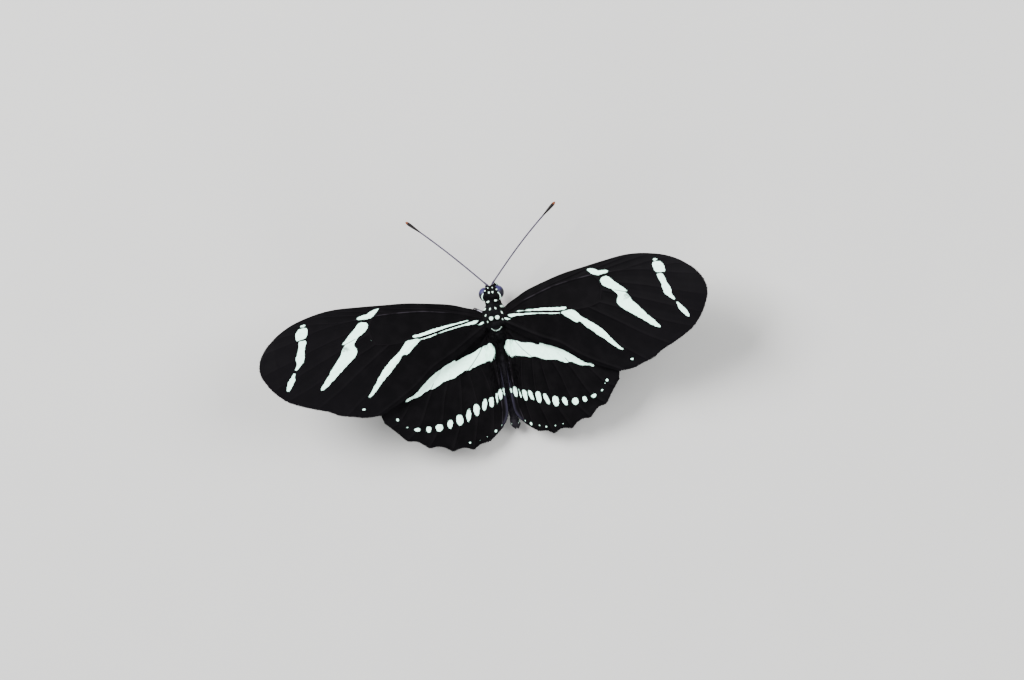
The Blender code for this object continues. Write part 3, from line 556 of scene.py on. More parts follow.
# the line of a thin painted sheen along the hindwing's inner margin
HINDWING_SHEEN_LINE = [(1.35, -4.0), (1.2, -8.0), (1.25, -12.0), (1.5, -16.0), (2.0, -18.6)]
HINDWING_CUTS = [
    [(3.1, -4.3), (3.7, -5.2), (4.4, -6.1), (5.3, -7.1), (6.1, -7.9)], [(12.5, -9.2), (13.1, -10.1)],
]
HINDWING_SPOTS = [
    (0.66, -13.1, 0.34, 2.1, 0), (1.38, -13.5, 0.85, 2.3, 4), (2.2, -14.05, 0.48, 2.25, 8),
    (3.2, -14.45, 0.97, 2.25, 6), (4.45, -14.75, 0.88, 2.4, 14), (5.9, -15.3, 1.15, 2.35, 3),
    (7.4, -15.95, 0.93, 2.45, 17), (9.1, -16.6, 1.3, 2.1, 4), (10.9, -16.95, 1.05, 1.8, 22),
    (12.9, -17.3, 1.34, 1.40, 8), (14.8, -17.2, 0.95, 1.22, 12), (16.75, -16.92, 1.32, 0.76, 10),
    (18.5, -16.2, 0.70, 0.44, 12), (19.85, -14.55, 0.62, 0.62, -10), (2.25, -19.0, 0.25, 0.45, 25),
    (3.35, -19.75, 0.5, 0.62, 18), (5.0, -20.42, 0.36, 0.44, 15), (6.3, -20.83, 0.42, 0.42, 0),
    (8.1, -20.95, 0.42, 0.38, 0), (9.75, -20.85, 0.42, 0.3, 0),
]
HINDWING_DOTS = {"right": HINDWING_SPOTS + [(19.35, -15.1, 0.38, 0.38, 0)], "left": HINDWING_SPOTS}
HINDWING_RED = [
    (3.2, -3.1, 0.8, 0.6, 0), (2.2, -4.6, 0.6, 0.6, 0), (4.6, -3.0, 0.5, 0.5, 0), (3.0, -6.0, 0.5, 0.5, 0),
]
SPOT_TAPER = 0.14
SPOT_POWER = 2.2
OUTSIDE = -3.0


def spot_depth(points, x, y, width, length, lean):
    """How far inside an oval spot each point lies, with its narrower lower end leaning outward."""
    angle = math.radians(lean)
    across = (points[:, 0] - x) * math.cos(angle) + (points[:, 1] - y) * math.sin(angle)
    along = (-(points[:, 0] - x) * math.sin(angle) + (points[:, 1] - y) * math.cos(angle)) / length * 2.0
    wide = width / 2.0 * (1.0 + SPOT_TAPER * np.clip(along, -1.0, 1.0))
    spread = (np.abs(across / wide) ** SPOT_POWER + np.abs(along) ** SPOT_POWER) ** (1.0 / SPOT_POWER)
    return (1.0 - spread) * min(width, length) / 2.0


def spots_depth(points, spots):
    """How far inside the nearest of several spots each point lies."""
    return np.max([np.full(len(points), OUTSIDE)] + [spot_depth(points, *spot) for spot in spots], axis=0)

# %% [markdown]
# ## Wing sheets
# A wing is a sheet stretched between its margins, so it starts as a flat grid and its points are
# laid between four border lines, as a cloth is stretched in a frame. The veins then raise the
# sheet a little and make it thicker, the fields between them sag, and Solidify gives it two faces.
# A cutter such as knife would leave ragged triangles, and this grid keeps even ones.

# %% Wing net


def hindwing_margin():
    """The hindwing's outer margin: low teeth at the vein ends with shallow bays between."""
    points = []
    for tooth, bay, after in zip(HINDWING_TEETH, HINDWING_BAYS, HINDWING_TEETH[1:]):
        start, low, end = np.array(tooth), np.array(bay), np.array(after)
        sink = (low - (start + end) / 2.0) * 0.15
        points += [start, start * 0.45 + low * 0.55 + sink, low, low * 0.45 + end * 0.55 + sink]
    return np.vstack(points + [np.array(HINDWING_CORNER)])


def wing_net(front, back, inner, outer):
    """A net of points between four border lines that meet at their ends."""
    s = np.linspace(0.0, 1.0, len(front))[:, None, None]
    t = np.linspace(0.0, 1.0, len(inner))[None, :, None]
    across = front[:, None] * (1.0 - t) + back[:, None] * t
    along = inner[None] * (1.0 - s) + outer[None] * s
    corners = (1.0 - s) * ((1.0 - t) * front[0] + t * back[0]) + s * ((1.0 - t) * front[-1] + t * back[-1])
    return across + along - corners


def grid_piece(net):
    """A grid object for a net, and the column and row of each of its points."""
    columns, rows = net.shape[0] - 1, net.shape[1] - 1
    bpy.ops.object.select_all(action="DESELECT")
    bpy.ops.mesh.primitive_grid_add(x_subdivisions=columns, y_subdivisions=rows, size=2.0)
    piece = bpy.context.object
    places = point_places(piece.data)
    column, row = np.rint((places[:, :2] + 1.0) / 2.0 * (columns, rows)).astype(int).T
    return piece, column, row

# %% Wing heights
BOW_START = 8.0
BOW_END = 3.0
FOLD_RISE = 0.45
FOLD_WIDTH = 1.5
DROOP_START = -8.0
DROOP_LENGTH = 14.0


def forewing_height(plan):
    """The forewing's middle surface: it rises outward and bows across its chord."""
    x, y = plan.T
    lead = np.interp(x, *np.array(FOREWING_COSTA + FOREWING_OUTER[1:3]).T)
    trail = np.interp(x, *np.array(FOREWING_INNER[:-1] + FOREWING_OUTER[:1:-1]).T)
    chord = np.clip((lead - y) / np.maximum(lead - trail, 0.5), 0.0, 1.0)
    out = x - FOREWING_ROOT[0]
    spread = np.clip(out / BOW_START, 0.0, 1.0) * np.clip((FOREWING_OUTER[2][0] - x) / BOW_END, 0.0, 1.0)
    return FOREWING_ROOT[1] + out * WING_LIFT + FOREWING_BOW * spread * np.sin(np.pi * chord)


def hindwing_height(plan):
    """The hindwing's middle surface: it rises outward, droops behind, and folds up at the body."""
    x, y = plan.T
    lift = np.maximum(x - HINDWING_ROOT[0], 0.0) * WING_LIFT
    rise = FOLD_RISE * np.clip((HINDWING_ROOT[0] - x) / FOLD_WIDTH, 0.0, 1.0)
    behind = np.clip((DROOP_START - y) / DROOP_LENGTH, 0.0, 1.0)
    return HINDWING_ROOT[1] + lift + rise - HINDWING_DROOP * behind ** 2 * np.minimum(x / 6.0, 1.0)

# %% Four wings as data


def wing_plan(front, outer, back, columns, rows):
    """A wing's net of points, its whole edge, and the free rim where its fringe grows."""
    front = smooth_line(front, columns + 1)
    outer = smooth_line(outer, rows + 1)
    back = smooth_line(back, columns + 1)
    root = smooth_line([front[0], back[0]], rows + 1)
    edge = np.vstack([front, outer, back[::-1]])
    return {"net": wing_net(front, back, root, outer), "edge": edge[::3], "rim": edge[len(front):]}


WINGS = {
    "forewing": {
        **wing_plan(FOREWING_COSTA, FOREWING_OUTER, FOREWING_INNER, 270, 135),
        "height": forewing_height, "veins": FOREWING_VEINS, "light": FOREWING_SHEEN_LINE,
        "cuts": FOREWING_CUTS, "marks": FOREWING_MARKS.values(), "dots": FOREWING_DOTS,
        "dusk": FOREWING_DUSK, "red": FOREWING_RED,
    },
    "hindwing": {
        **wing_plan(HINDWING_COSTA + HINDWING_TEETH[:1], hindwing_margin(), HINDWING_INNER, 170, 190),
        "height": hindwing_height, "veins": HINDWING_VEINS, "light": HINDWING_SHEEN_LINE,
        "cuts": HINDWING_CUTS, "marks": [HINDWING_BAND], "dots": HINDWING_DOTS,
        "dusk": [], "red": HINDWING_RED,
    },
}

# %% Wing piece
WING_SKIN = 0.12
RIM_SHARE = 0.4
RIM_WIDTH = 0.6
VEIN_SWELL = 0.26
VEIN_WIDTHS = (0.26, 0.12)
VEIN_REACH = 40.0
FIELD_SAG = 0.10
FIELD_WIDTH = 1.3
THICKNESS_STEPS = 60.0
WING_SHIFT = {
    "forewing_right": (-0.02, 0.06, 12.0), "forewing_left": (0.14, -0.12, 25.0),
    "hindwing_right": (-0.34, 0.08, 6.0), "hindwing_left": (0.40, -0.22, 6.0),
}


def pale_depth(plan, wing, side_name):
    """How far inside a pale mark of a wing each point lies."""
    depths = [depth_inside(plan, outline) for outline in wing["marks"]]
    return np.max(depths + [spots_depth(plan, wing["dots"][side_name])], axis=0)


def measure_wing(plan, wing, side_name):
    """The numbers that a wing's shape and finish need at each point of its plan."""
    lines = [smooth_line(vein, 40) for vein in wing["veins"]]
    measures = [line_distance(plan, line) for line in lines]
    swell = np.zeros(len(plan))
    for line, (gap, _, share) in zip(lines, measures):
        reach = np.clip(line[0][0] + share * (line[-1][0] - line[0][0]), 0.0, VEIN_REACH) / VEIN_REACH
        width = VEIN_WIDTHS[0] + (VEIN_WIDTHS[1] - VEIN_WIDTHS[0]) * reach
        swell = np.maximum(swell, np.exp(-(gap / width) ** 2) * (1.0 - 0.6 * reach))
    far, side = nearest_of(measures)
    cut_far, cut_side = nearest_of([line_distance(plan, smooth_line(cut, 20)) for cut in wing["cuts"]])
    # the signed distance to the painted sheen line, stored as "light"
    light = line_distance(plan, smooth_line(wing["light"], 30))[1]
    capped = {"vein_far": far, "vein_side": side, "cut_far": cut_far, "cut_side": cut_side, "light": light}
    return {
        **{key: np.clip(values, -5.0, 5.0) for key, values in capped.items()},
        "swell": swell, "root": plan[:, 0], "tail": plan[:, 1], "red": spots_depth(plan, wing["red"]),
        "edge": np.minimum(line_distance(plan, wing["edge"])[0], 3.0),
        "cream": np.minimum(pale_depth(plan, wing, side_name), 3.0),
        "dusk": np.clip(spots_depth(plan, wing["dusk"]), 0.0, 1.0),
    }


def held_plan(name, plan):
    """The plan of one wing as the animal holds it, a little apart from its mirror image."""
    across, forward, reach = WING_SHIFT[name]
    share = np.clip(plan[:, 0] / reach, 0.0, 1.0)[:, None]
    return plan + share * np.array([across, forward])


def make_wing(kind, side_name, mirror):
    """One wing from its net: the sheet, its veins and sag, its two faces, and its stored numbers."""
    name = kind + "_" + side_name
    wing = WINGS[kind]
    piece, column, row = grid_piece(wing["net"])
    mesh = piece.data
    plan = wing["net"][column, row]
    own = measure_wing(plan, wing, side_name)
    sag = FIELD_SAG * (1.0 - np.exp(-(own["vein_far"] / FIELD_WIDTH) ** 2)) * np.clip(own["edge"], 0.0, 1.0)
    held = held_plan(name, plan)
    move_points(mesh, np.column_stack([held[:, 0] * mirror, held[:, 1], wing["height"](plan) - sag]))
    if mirror < 0.0:
        mesh.flip_normals()
    for key, values in own.items():
        store(mesh, key, values)
    body = RIM_SHARE + (1.0 - RIM_SHARE) * np.clip(own["edge"] / RIM_WIDTH, 0.0, 1.0)
    thickness = WING_SKIN * body + VEIN_SWELL * own["swell"]
    levels = np.rint(thickness / thickness.max() * THICKNESS_STEPS).astype(int)
    group = piece.vertex_groups.new(name="thickness")
    for level in np.unique(levels):
        group.add(np.nonzero(levels == level)[0].tolist(), level / THICKNESS_STEPS, "REPLACE")
    apply_modifier(
        piece, "SOLIDIFY", thickness=float(thickness.max()), offset=0.0, vertex_group="thickness",
        use_even_offset=False,
    )
    piece.vertex_groups.clear()
    heights = point_places(mesh)[:, 2]
    first, second = slice(0, len(plan)), slice(len(plan), 2 * len(plan))
    upper = np.zeros(len(heights))
    upper[first] = heights[first] > heights[second]
    upper[second] = heights[second] > heights[first]
    store(mesh, "upper", upper)
    settle(piece, name + "_scaled", WING_FINISH, [name])

# %% [markdown]
# ## The finish of the wings
# A wing's colour comes from tiny overlapping scales. The black ones are like velvet, deep and
# matt, with a faint brown or violet cast. The pale ones are greenish white. The edge between them
# is a little ragged, because it runs from scale to scale, so a fine noise shifts the stored
# distance before it is turned into a mask. Veins show as dark hairlines in the pale marks and as
# slightly lighter ones in the black. A thin painted sheen runs along the forewing's subcostal vein
# and along the hindwing's inner margin, and a broader painted sheen lies on the hindwing's inner
# fold beside the abdomen. The underside is browner and duller, with a few crimson spots at the root.

# %% Wing finish
BLACK_DEEP = tone(0.0006, 0.0005, 0.0007)
BLACK_WARM = tone(0.0014, 0.0012, 0.0015)
BLACK_WORN = tone(0.0025, 0.0022, 0.0028)
VEIN_LIGHT = tone(0.005, 0.004, 0.005)
# painted sheen: the colour of the thin sheen lines along a vein and a margin
PAINTED_SHEEN_LINE = tone(0.022, 0.019, 0.024)
# painted sheen on the hindwing's inner fold beside the abdomen
FOLD_SHEEN = tone(0.010, 0.009, 0.015)
PALE_SCALES = tone(0.63, 0.98, 0.82)
PALE_SHADE = tone(0.54, 0.90, 0.73)
DUSKY = tone(0.16, 0.22, 0.20)
UNDER_BLACK = tone(0.022, 0.016, 0.014)
CRIMSON = tone(0.32, 0.012, 0.016)


def wing_finish():
    """Velvety black scales with pale marks, veins, painted sheen lines and a browner underside."""
    paint = Paint("wing_scales")
    scales = paint.noise(0.10, 1.0)
    patches = paint.noise(2.2, 3.0)
    streaks = paint.noise(0.45, 2.0)
    upper = paint.own("upper")
    far = paint.own("vein_far")
    hairline = paint.own("vein_side").size().below(0.02, 0.10) * far.below(0.2, 0.3)
    dark = paint.mix(patches.above(0.35, 0.75), BLACK_DEEP, BLACK_WARM)
    dark = paint.mix(paint.own("root").above(8.0, 42.0) * 0.6, dark, BLACK_WORN)
    dark = paint.mix(scales.above(0.60, 0.85) * 0.30, dark, VEIN_LIGHT)
    dark = paint.mix(hairline * 0.22, dark, VEIN_LIGHT)
    # painted sheen: a thin lighter line along the stored sheen line, broken by patches
    sheen_line_mask = paint.own("light").size().below(0.02, 0.11) * patches.above(0.30, 0.65)
    dark = paint.mix(sheen_line_mask * 0.6, dark, PAINTED_SHEEN_LINE)
    # painted sheen: a violet-grey strip on the hindwing's inner fold beside the abdomen
    inner = paint.own("edge").below(0.10, 0.60) * paint.own("root").below(1.4, 2.6)
    inner = inner * paint.own("tail").below(-12.0, -7.5)
    dark = paint.mix(inner * (patches.above(0.25, 0.60) * 0.5 + 0.5), dark, FOLD_SHEEN)
    under = paint.mix(hairline * 0.5, UNDER_BLACK, VEIN_LIGHT)
    dark = paint.mix(upper, under, dark)
    ragged = (scales - 0.5) * 0.14 + (streaks - 0.5) * 0.16 + (paint.noise(0.8, 2.0) - 0.5) * 0.30
    pale = (paint.own("cream") + ragged).above(0.05, 0.12)
    cut = paint.own("cut_side").size().below(0.03, 0.11) * paint.own("cut_far").below(0.2, 0.3)
    pale = pale * (1.0 - cut * 0.9) * (1.0 - hairline * 0.10)
    light = paint.mix(streaks.above(0.40, 0.75), PALE_SCALES, PALE_SHADE)
    dusk = paint.own("dusk").above(0.0, 0.45) * streaks.above(0.30, 0.60)
    light = paint.mix(dusk * 0.85, light, DUSKY)
    colour = paint.mix(pale, dark, light)
    red = paint.own("red").above(-0.03, 0.05) * (1.0 - upper)
    colour = paint.mix(red, colour, CRIMSON)
    relief = scales + paint.noise(0.35, 2.0) * 0.6
    return paint.finish({
        "Base Color": colour,
        "Roughness": 0.62 + pale * 0.12,
        "Specular IOR Level": 0.02,
        "Normal": paint.bump(relief, 0.35, 0.03),
    })


WING_FINISH = wing_finish()

# %% The four wings
SIDES = (("right", 1.0), ("left", -1.0))

for wing_kind in WINGS:
    for side_name, side_sign in SIDES:
        make_wing(wing_kind, side_name, side_sign)

# %% [markdown]
# ## The body skin
# Head, thorax and abdomen are plates of one skin with soft joints between them, and a butterfly's
# are hidden under scales, so no seam may show. Egg forms are set where the real lobes are: the
# round face and crown, the collar behind the head, the barrel of flight muscle, the shield behind
# it and the hips below. A voxel remesh melts them into one closed surface, which a union of so many
# rounded forms would do less evenly, and a smoothing pass leaves soft valleys between the lobes.

# %% Body forms
HEAD_SIDE_STEP = 0.12
HEAD_EGGS = [
    ((0.0, 4.85, -2.05), (1.58, 1.42, 0.95), 0.0),
    ((0.0, 5.10, -2.85), (1.15, 1.20, 1.50), 0.0),
    ((0.0, 5.55, -3.10), (0.92, 0.85, 1.15), 0.0),
    ((0.0, 5.55, -1.52), (0.80, 0.75, 0.42), -10.0),
    ((0.0, 4.05, -2.65), (1.00, 0.85, 1.15), 0.0),
]
PAIRED_HEAD_EGGS = [
    ((1.12, 4.25, -2.05), (0.60, 0.68, 0.72), 0.0),
    ((0.55, 6.20, -1.62), (0.30, 0.36, 0.32), 0.0),
]
BODY_EGGS = [
    ((-0.10, 3.05, -2.50), (1.22, 0.85, 1.45), 0.0),
    ((0.0, 1.00, -2.45), (2.02, 2.62, 2.28), -4.0),
    ((0.0, -0.60, -2.60), (1.98, 2.00, 2.12), 0.0),
    ((0.0, -2.55, -2.80), (1.42, 1.35, 1.62), 8.0),
    ((0.0, -1.75, -1.05), (0.95, 0.60, 0.42), 14.0),
    ((0.0, -3.70, -2.85), (0.80, 0.90, 0.85), 0.0),
]
PAIRED_EGGS = [
    ((0.62, 3.40, -1.45), (0.62, 0.42, 0.42), -20.0),
    ((1.62, 1.05, -0.95), (0.50, 1.20, 0.34), -8.0),
    ((1.75, -0.20, -1.30), (0.50, 1.10, 0.50), 0.0),
    ((0.95, 0.70, -4.60), (0.52, 0.62, 0.98), 0.0),
    ((0.88, -1.25, -4.55), (0.52, 0.62, 0.95), 0.0),
    ((0.80, 2.35, -3.95), (0.42, 0.46, 0.70), 0.0),
]
ABDOMEN_START = -3.4
ABDOMEN_END = -19.95
ABDOMEN_RINGS = 8
ABDOMEN_SIDES = [0.0, -0.08, -0.20, -0.32, -0.42, -0.43, -0.33, -0.14, 0.05]
ABDOMEN_HEIGHTS = [-2.78, -2.8, -2.85, -2.95, -3.0, -3.05, -3.1, -3.15, -3.15]
ABDOMEN_RADII = [0.62, 0.74, 0.78, 0.76, 0.70, 0.66, 0.62, 0.68, 1.12]
ROUND_END = 0.08
ROUND_START = 0.03
END_LOBE = ((0.24, 0.50, -3.3), (0.34, 0.58, 0.50))
RING_DIP = 0.06
RING_LENGTH = (ABDOMEN_START - ABDOMEN_END) / ABDOMEN_RINGS
SKIN_VOXEL = 0.085


def add_egg(centre, radii, tilt):
    """An egg form, tipped about the X axis."""
    bpy.ops.mesh.primitive_uv_sphere_add(
        segments=40, ring_count=24, radius=1.0, location=centre, scale=radii,
        rotation=(math.radians(tilt), 0.0, 0.0),
    )
    return bpy.context.object


def abdomen_line(share):
    """The abdomen's middle line and half thickness at shares of its length."""
    knots = np.linspace(0.0, 1.0, ABDOMEN_RINGS + 1)
    y = ABDOMEN_START + (ABDOMEN_END - ABDOMEN_START) * share
    x, z, radius = (np.interp(share, knots, row) for row in (ABDOMEN_SIDES, ABDOMEN_HEIGHTS, ABDOMEN_RADII))
    return x, y, z, radius


def add_abdomen():
    """The abdomen: a sphere whose rings are drawn out along the abdomen's line."""
    bpy.ops.mesh.primitive_uv_sphere_add(
        segments=40, ring_count=160, radius=1.0, rotation=(math.pi / 2.0, 0.0, 0.0),
    )
    piece = bpy.context.object
    bpy.ops.object.transform_apply(location=True, rotation=True, scale=True)
    places = point_places(piece.data)
    share = np.arccos(np.clip(places[:, 1], -1.0, 1.0)) / math.pi
    around = np.hypot(places[:, 0], places[:, 2])
    middle_x, middle_y, middle_z, radius = abdomen_line(share)
    ends = ((share - (1.0 - ROUND_END)) / ROUND_END, (ROUND_START - share) / ROUND_START)
    round_end, round_start = (np.sqrt(1.0 - np.clip(end, 0.0, 1.0) ** 2) for end in ends)
    reach = radius * round_end * round_start / np.maximum(around, 1e-6)
    move_points(piece.data, np.column_stack([
        middle_x + places[:, 0] * reach, middle_y, middle_z + places[:, 2] * reach * 1.06,
    ]))
    return piece


skin_parts = []
for single, paired, step in ((BODY_EGGS, PAIRED_EGGS, 0.0), (HEAD_EGGS, PAIRED_HEAD_EGGS, HEAD_SIDE_STEP)):
    for (x, y, z), egg_radii, egg_tilt in single:
        skin_parts.append(add_egg((x + step, y, z), egg_radii, egg_tilt))
    for (x, y, z), egg_radii, egg_tilt in paired:
        skin_parts += [add_egg((side * x + step, y, z), egg_radii, egg_tilt) for side in (-1.0, 1.0)]
skin_parts.append(add_abdomen())
(x, y, z), lobe_radii = END_LOBE
for side in (-1.0, 1.0):
    skin_parts.append(add_egg((ABDOMEN_SIDES[-1] + side * x, ABDOMEN_END + y, z), lobe_radii, 0.0))
skin = join(skin_parts)
bpy.ops.object.transform_apply(location=True, rotation=True, scale=True)
apply_modifier(skin, "REMESH", mode="VOXEL", voxel_size=SKIN_VOXEL)
apply_modifier(skin, "SMOOTH", factor=0.5, iterations=5)
print("skin points", len(skin.data.vertices))

# %% [markdown]
# ## The body's marks
# The back carries small round cream spots in pairs, two large ones between the forewing roots, a
# fine V on the shield, and a pale crescent behind each eye. The abdomen has a row of dots on each
# side. Each spot is a place and a size, and a point's depth inside the nearest spot is stored on
# the skin. The scales that grow from the skin copy the same number, so skin and coat agree.

# %% Body marks
MARK_TURN = math.radians(5.0)
BODY_CENTRE_Z = -2.6
BODY_SPOTS = [
    (0.42, 5.93, 0.22, 0.22, 0), (1.08, 5.52, 0.27, 0.36, 20), (0.33, 5.12, 0.34, 0.46, 0),
    (0.72, 3.48, 0.56, 0.38, -10), (0.50, 2.10, 0.26, 0.58, 28), (1.58, 2.27, 0.78, 0.38, -28),
    (1.54, 1.12, 0.24, 0.62, 22), (0.57, 0.40, 0.80, 0.76, 0), (1.42, -0.10, 0.26, 0.40, 0),
]
HEAD_START = 4.4
HEAD_MARK_STEP = 0.09
HEAD_MARK_SLOPE = 0.05
EYE_CRESCENT = [(1.33, 5.05), (1.55, 4.78), (1.67, 4.50), (1.70, 4.06), (1.61, 3.88), (1.44, 3.74)]
CRESCENT_WIDTH = 0.09
SHIELD_LINE = [(0.0, -1.94), (0.45, -1.83), (0.98, -1.40)]
SHIELD_WIDTH = 0.07
END_DOT = (0.62, -19.1, 0.18, 0.22, 0)
SIDE_DOT = (0.05, 0.0, 0.34, 0.46, 0)
BELLY_LINE = 0.22


def crescent_depth(places):
    """How deep inside the pale rim behind an eye each point lies."""
    plan = np.column_stack([np.abs(places[:, 0] - 0.03), places[:, 1] + HEAD_MARK_SLOPE * places[:, 0]])
    gap, _, share = line_distance(plan, smooth_line(EYE_CRESCENT, 16))
    depth = CRESCENT_WIDTH * (0.6 + 0.4 * np.sin(np.pi * share)) - gap
    return np.where(places[:, 2] > BODY_CENTRE_Z, depth, OUTSIDE)


def abdomen_shares(y):
    """The share of the abdomen's length at each point, and the share of its own ring."""
    share = (y - ABDOMEN_START) / (ABDOMEN_END - ABDOMEN_START)
    return share, (share * ABDOMEN_RINGS) % 1.0


def body_marks(places):
    """How deep inside a pale mark of the body each point lies."""
    x, y, z = places.T
    turned_x = x * math.cos(MARK_TURN) - (z - BODY_CENTRE_Z) * math.sin(MARK_TURN)
    turned_z = x * math.sin(MARK_TURN) + (z - BODY_CENTRE_Z) * math.cos(MARK_TURN)
    ahead = y > HEAD_START
    away = np.abs(turned_x - HEAD_MARK_STEP * ahead)
    plan = np.column_stack([away, y + HEAD_MARK_SLOPE * turned_x * ahead])
    shield = SHIELD_WIDTH - line_distance(plan, smooth_line(SHIELD_LINE, 10))[0]
    back = np.where(turned_z > -0.2, np.maximum(spots_depth(plan, BODY_SPOTS), shield), OUTSIDE)
    end = spots_depth(np.column_stack([np.abs(x - ABDOMEN_SIDES[-1]), y]), [END_DOT])
    share, ring = abdomen_shares(y)
    middle_x, _, middle_z, radius = abdomen_line(np.clip(share, 0.0, 1.0))
    dots = spots_depth(np.column_stack([z - middle_z, (ring - 0.45) * RING_LENGTH]), [SIDE_DOT])
    belly = (share > 0.0) & (share < 0.97) & (z < middle_z - 0.4 * radius)
    return np.max([
        back, crescent_depth(places), np.where(z > -3.0, end, OUTSIDE),
        np.where((share > 0.02) & (share < 0.98), dots, OUTSIDE),
        np.where(belly, BELLY_LINE - np.abs(x - middle_x), OUTSIDE),
    ], axis=0)


def ring_grooves(places):
    """How far the skin sinks at the joints between the abdomen's rings."""
    share, ring = abdomen_shares(places[:, 1])
    away = np.minimum(ring, 1.0 - ring) * RING_LENGTH
    return np.where((share > 0.06) & (share < 0.97), RING_DIP * np.exp(-(away / 0.11) ** 2), 0.0)


skin_places = point_places(skin.data)
skin_places -= read(skin.data.vertices, "normal") * ring_grooves(skin_places)[:, None]
move_points(skin.data, skin_places)
store(skin.data, "cream", body_marks(skin_places))

# %% [markdown]
# ## The finish of the body
# Under the scales the skin is black horn. The scales themselves are matt black with a cool sheen,
# and cream in the marks. On the abdomen the black is painted lighter, painted light that lifts the
# shade falling between the hindwings. One recipe serves the skin and the coat, because both carry
# the same stored depth.

# %% Body finish


def body_finish():
    """Black scales with cream marks, painted lighter on the abdomen to lift its shade between the hindwings.
    """
    paint = Paint("body_scales")
    grain = paint.noise(0.09, 2.0)
    patches = paint.noise(0.9, 2.0)
    dark = paint.mix(patches.above(0.35, 0.7), tone(0.0005, 0.0005, 0.0007), tone(0.0030, 0.0028, 0.0035))
    # painted light: the abdomen's black is lighter, to lift the shade that falls between the hindwings
    place = paint.node("ShaderNodeSeparateXYZ", {}, {"Vector": paint.place}, output="Y")
    behind = place.below(-8.0 * MM, -3.5 * MM) * (patches.above(0.3, 0.7) * 0.5 + 0.4)
    dark = paint.mix(behind, dark, tone(0.011, 0.010, 0.013))
    light = paint.mix(grain.above(0.35, 0.7), tone(0.66, 0.80, 0.70), PALE_SCALES)
    pale = (paint.own("cream") + (grain - 0.5) * 0.06).above(0.01, 0.05)
    return paint.finish({
        "Base Color": paint.mix(pale, dark, light),
        "Roughness": 0.55 + pale * 0.15,
        "Specular IOR Level": 0.04,
        "Normal": paint.bump(grain, 0.3, 0.02),
    })


BODY_FINISH = body_finish()

# %% [markdown]
# ## The coat of scales and hair
# Each scale or hair is a flat, tapered blade of a few faces whose root sinks into the skin. They
# are laid by thousands in one array: a root is drawn on the skin by area, the blade points back
# along the body, and its length depends on the place, short on the face, long on the flanks and
# behind the wings. A particle system would grow them too, but only real faces are kept when the
# model leaves the studio. The draw is seeded, so the coat is the same each time.

# %% Blades
BLADE_STEPS = ((0.0, 0.8), (0.45, 1.0), (0.8, 0.6))
BLADE_CORNERS = ((0, 1), (1, 2), (2, 0))
ROOT_DEPTH = 0.03
PATCH = 0.003


def blades(roots, normals, lies, lengths, widths, lifts, unwrap):
    """The points, faces and bake places of flat tapered blades."""
    lies = lies - normals * np.sum(lies * normals, axis=1)[:, None]
    lies = lies / np.maximum(np.linalg.norm(lies, axis=1), 1e-6)[:, None]
    sides = np.cross(normals, lies)
    points = []
    bake = []
    for share, wide in BLADE_STEPS:
        rise = lengths * (lifts * share - 0.5 * lifts * share ** 2) - ROOT_DEPTH * (share == 0.0)
        centre = roots + lies * (lengths * share)[:, None] + normals * rise[:, None]
        half = np.broadcast_to(widths * wide / 2.0, len(roots))[:, None]
        points += [centre - sides * half, centre + normals * half * 0.5, centre + sides * half]
        bake += [(share - 0.5, -0.5), (share - 0.5, 0.0), (share - 0.5, 0.5)]
    points.append(roots + lies * lengths[:, None] + normals * (lengths * lifts * 0.5)[:, None])
    bake.append((0.5, 0.0))
    block = np.stack(points, axis=1)
    faces = [(low + a, low + b, low + 3 + b, low + 3 + a) for low in (0, 3) for a, b in BLADE_CORNERS]
    faces += [(6 + a, 6 + b, 9) for a, b in BLADE_CORNERS] + [(0, 2, 1)]
    offsets = np.arange(len(roots)) * block.shape[1]
    all_faces = [tuple(offset + index for index in face) for offset in offsets for face in faces]
    bake_places = unwrap[:, None, :] + np.array(bake)[None] * PATCH
    return block.reshape(-1, 3), all_faces, bake_places.reshape(-1, 2)


def coat_piece(own, points, faces, bake_places):
    """An object from blades, with its bake map and the numbers copied from the skin."""
    mesh = bpy.data.meshes.new("coat")
    mesh.from_pydata(points.tolist(), [], faces)
    mesh.update()
    loops = np.empty(len(mesh.loops), np.int32)
    mesh.loops.foreach_get("vertex_index", loops)
    layer = mesh.uv_layers.new(name="OFBake")
    layer.data.foreach_set("uv", np.clip(bake_places[loops], 0.0, 1.0).astype(np.float32).ravel())
    for name, values in own.items():
        store(mesh, name, np.repeat(values, len(points) // len(values)))
    piece = bpy.data.objects.new("coat", mesh)
    bpy.context.scene.collection.objects.link(piece)
    return piece


def face_table(mesh):
    """The middle, the normal and the area of each face."""
    faces = mesh.polygons
    return read(faces, "center"), read(faces, "normal"), read(faces, "area", 1)[:, 0]

# %% Body coat
EYE_SIDE_STEP = -0.06
EYE_CENTRE = (1.26, 4.95, -2.72)
EYE_RADII = (1.10, 1.26, 1.20)
COAT_SEED = 11
COAT_COUNTS = {"body_coat": 12000, "abdomen_coat": 6000}
HEAD_DENSITY, BACK_DENSITY, BELLY_DENSITY = 2.0, 1.5, 0.8
COAT_BLADES = {
    "head": (0.24, 0.065, 0.30), "tail": (0.32, 0.11, 0.10), "rear": (0.95, 0.055, 0.35),
    "neck": (0.35, 0.055, 0.35), "flank": (0.70, 0.055, 0.35), "back": (0.30, 0.08, 0.20),
}
SHORTEST = 0.18
TAIL_START = -4.0
FACE_START = 5.9


def coat_sizes(y, up):
    """The length, width and lift of the blades at each root."""
    zones = [y > 3.9, y < TAIL_START, y < -2.3, (up < 0.30) & (y > 2.0), up < 0.30]
    return [np.select(zones, values[:-1], values[-1]) for values in zip(*COAT_BLADES.values())]


def body_unwrap(places):
    """An unwrap of the body's own shape: the turn round its long axis, and the place along it."""
    turn = np.arctan2(places[:, 0], places[:, 2] - BODY_CENTRE_Z) / math.tau + 0.5
    along = (places[:, 1] + 21.0) / 28.5
    return np.column_stack([0.02 + 0.96 * turn, 0.02 + 0.96 * along])


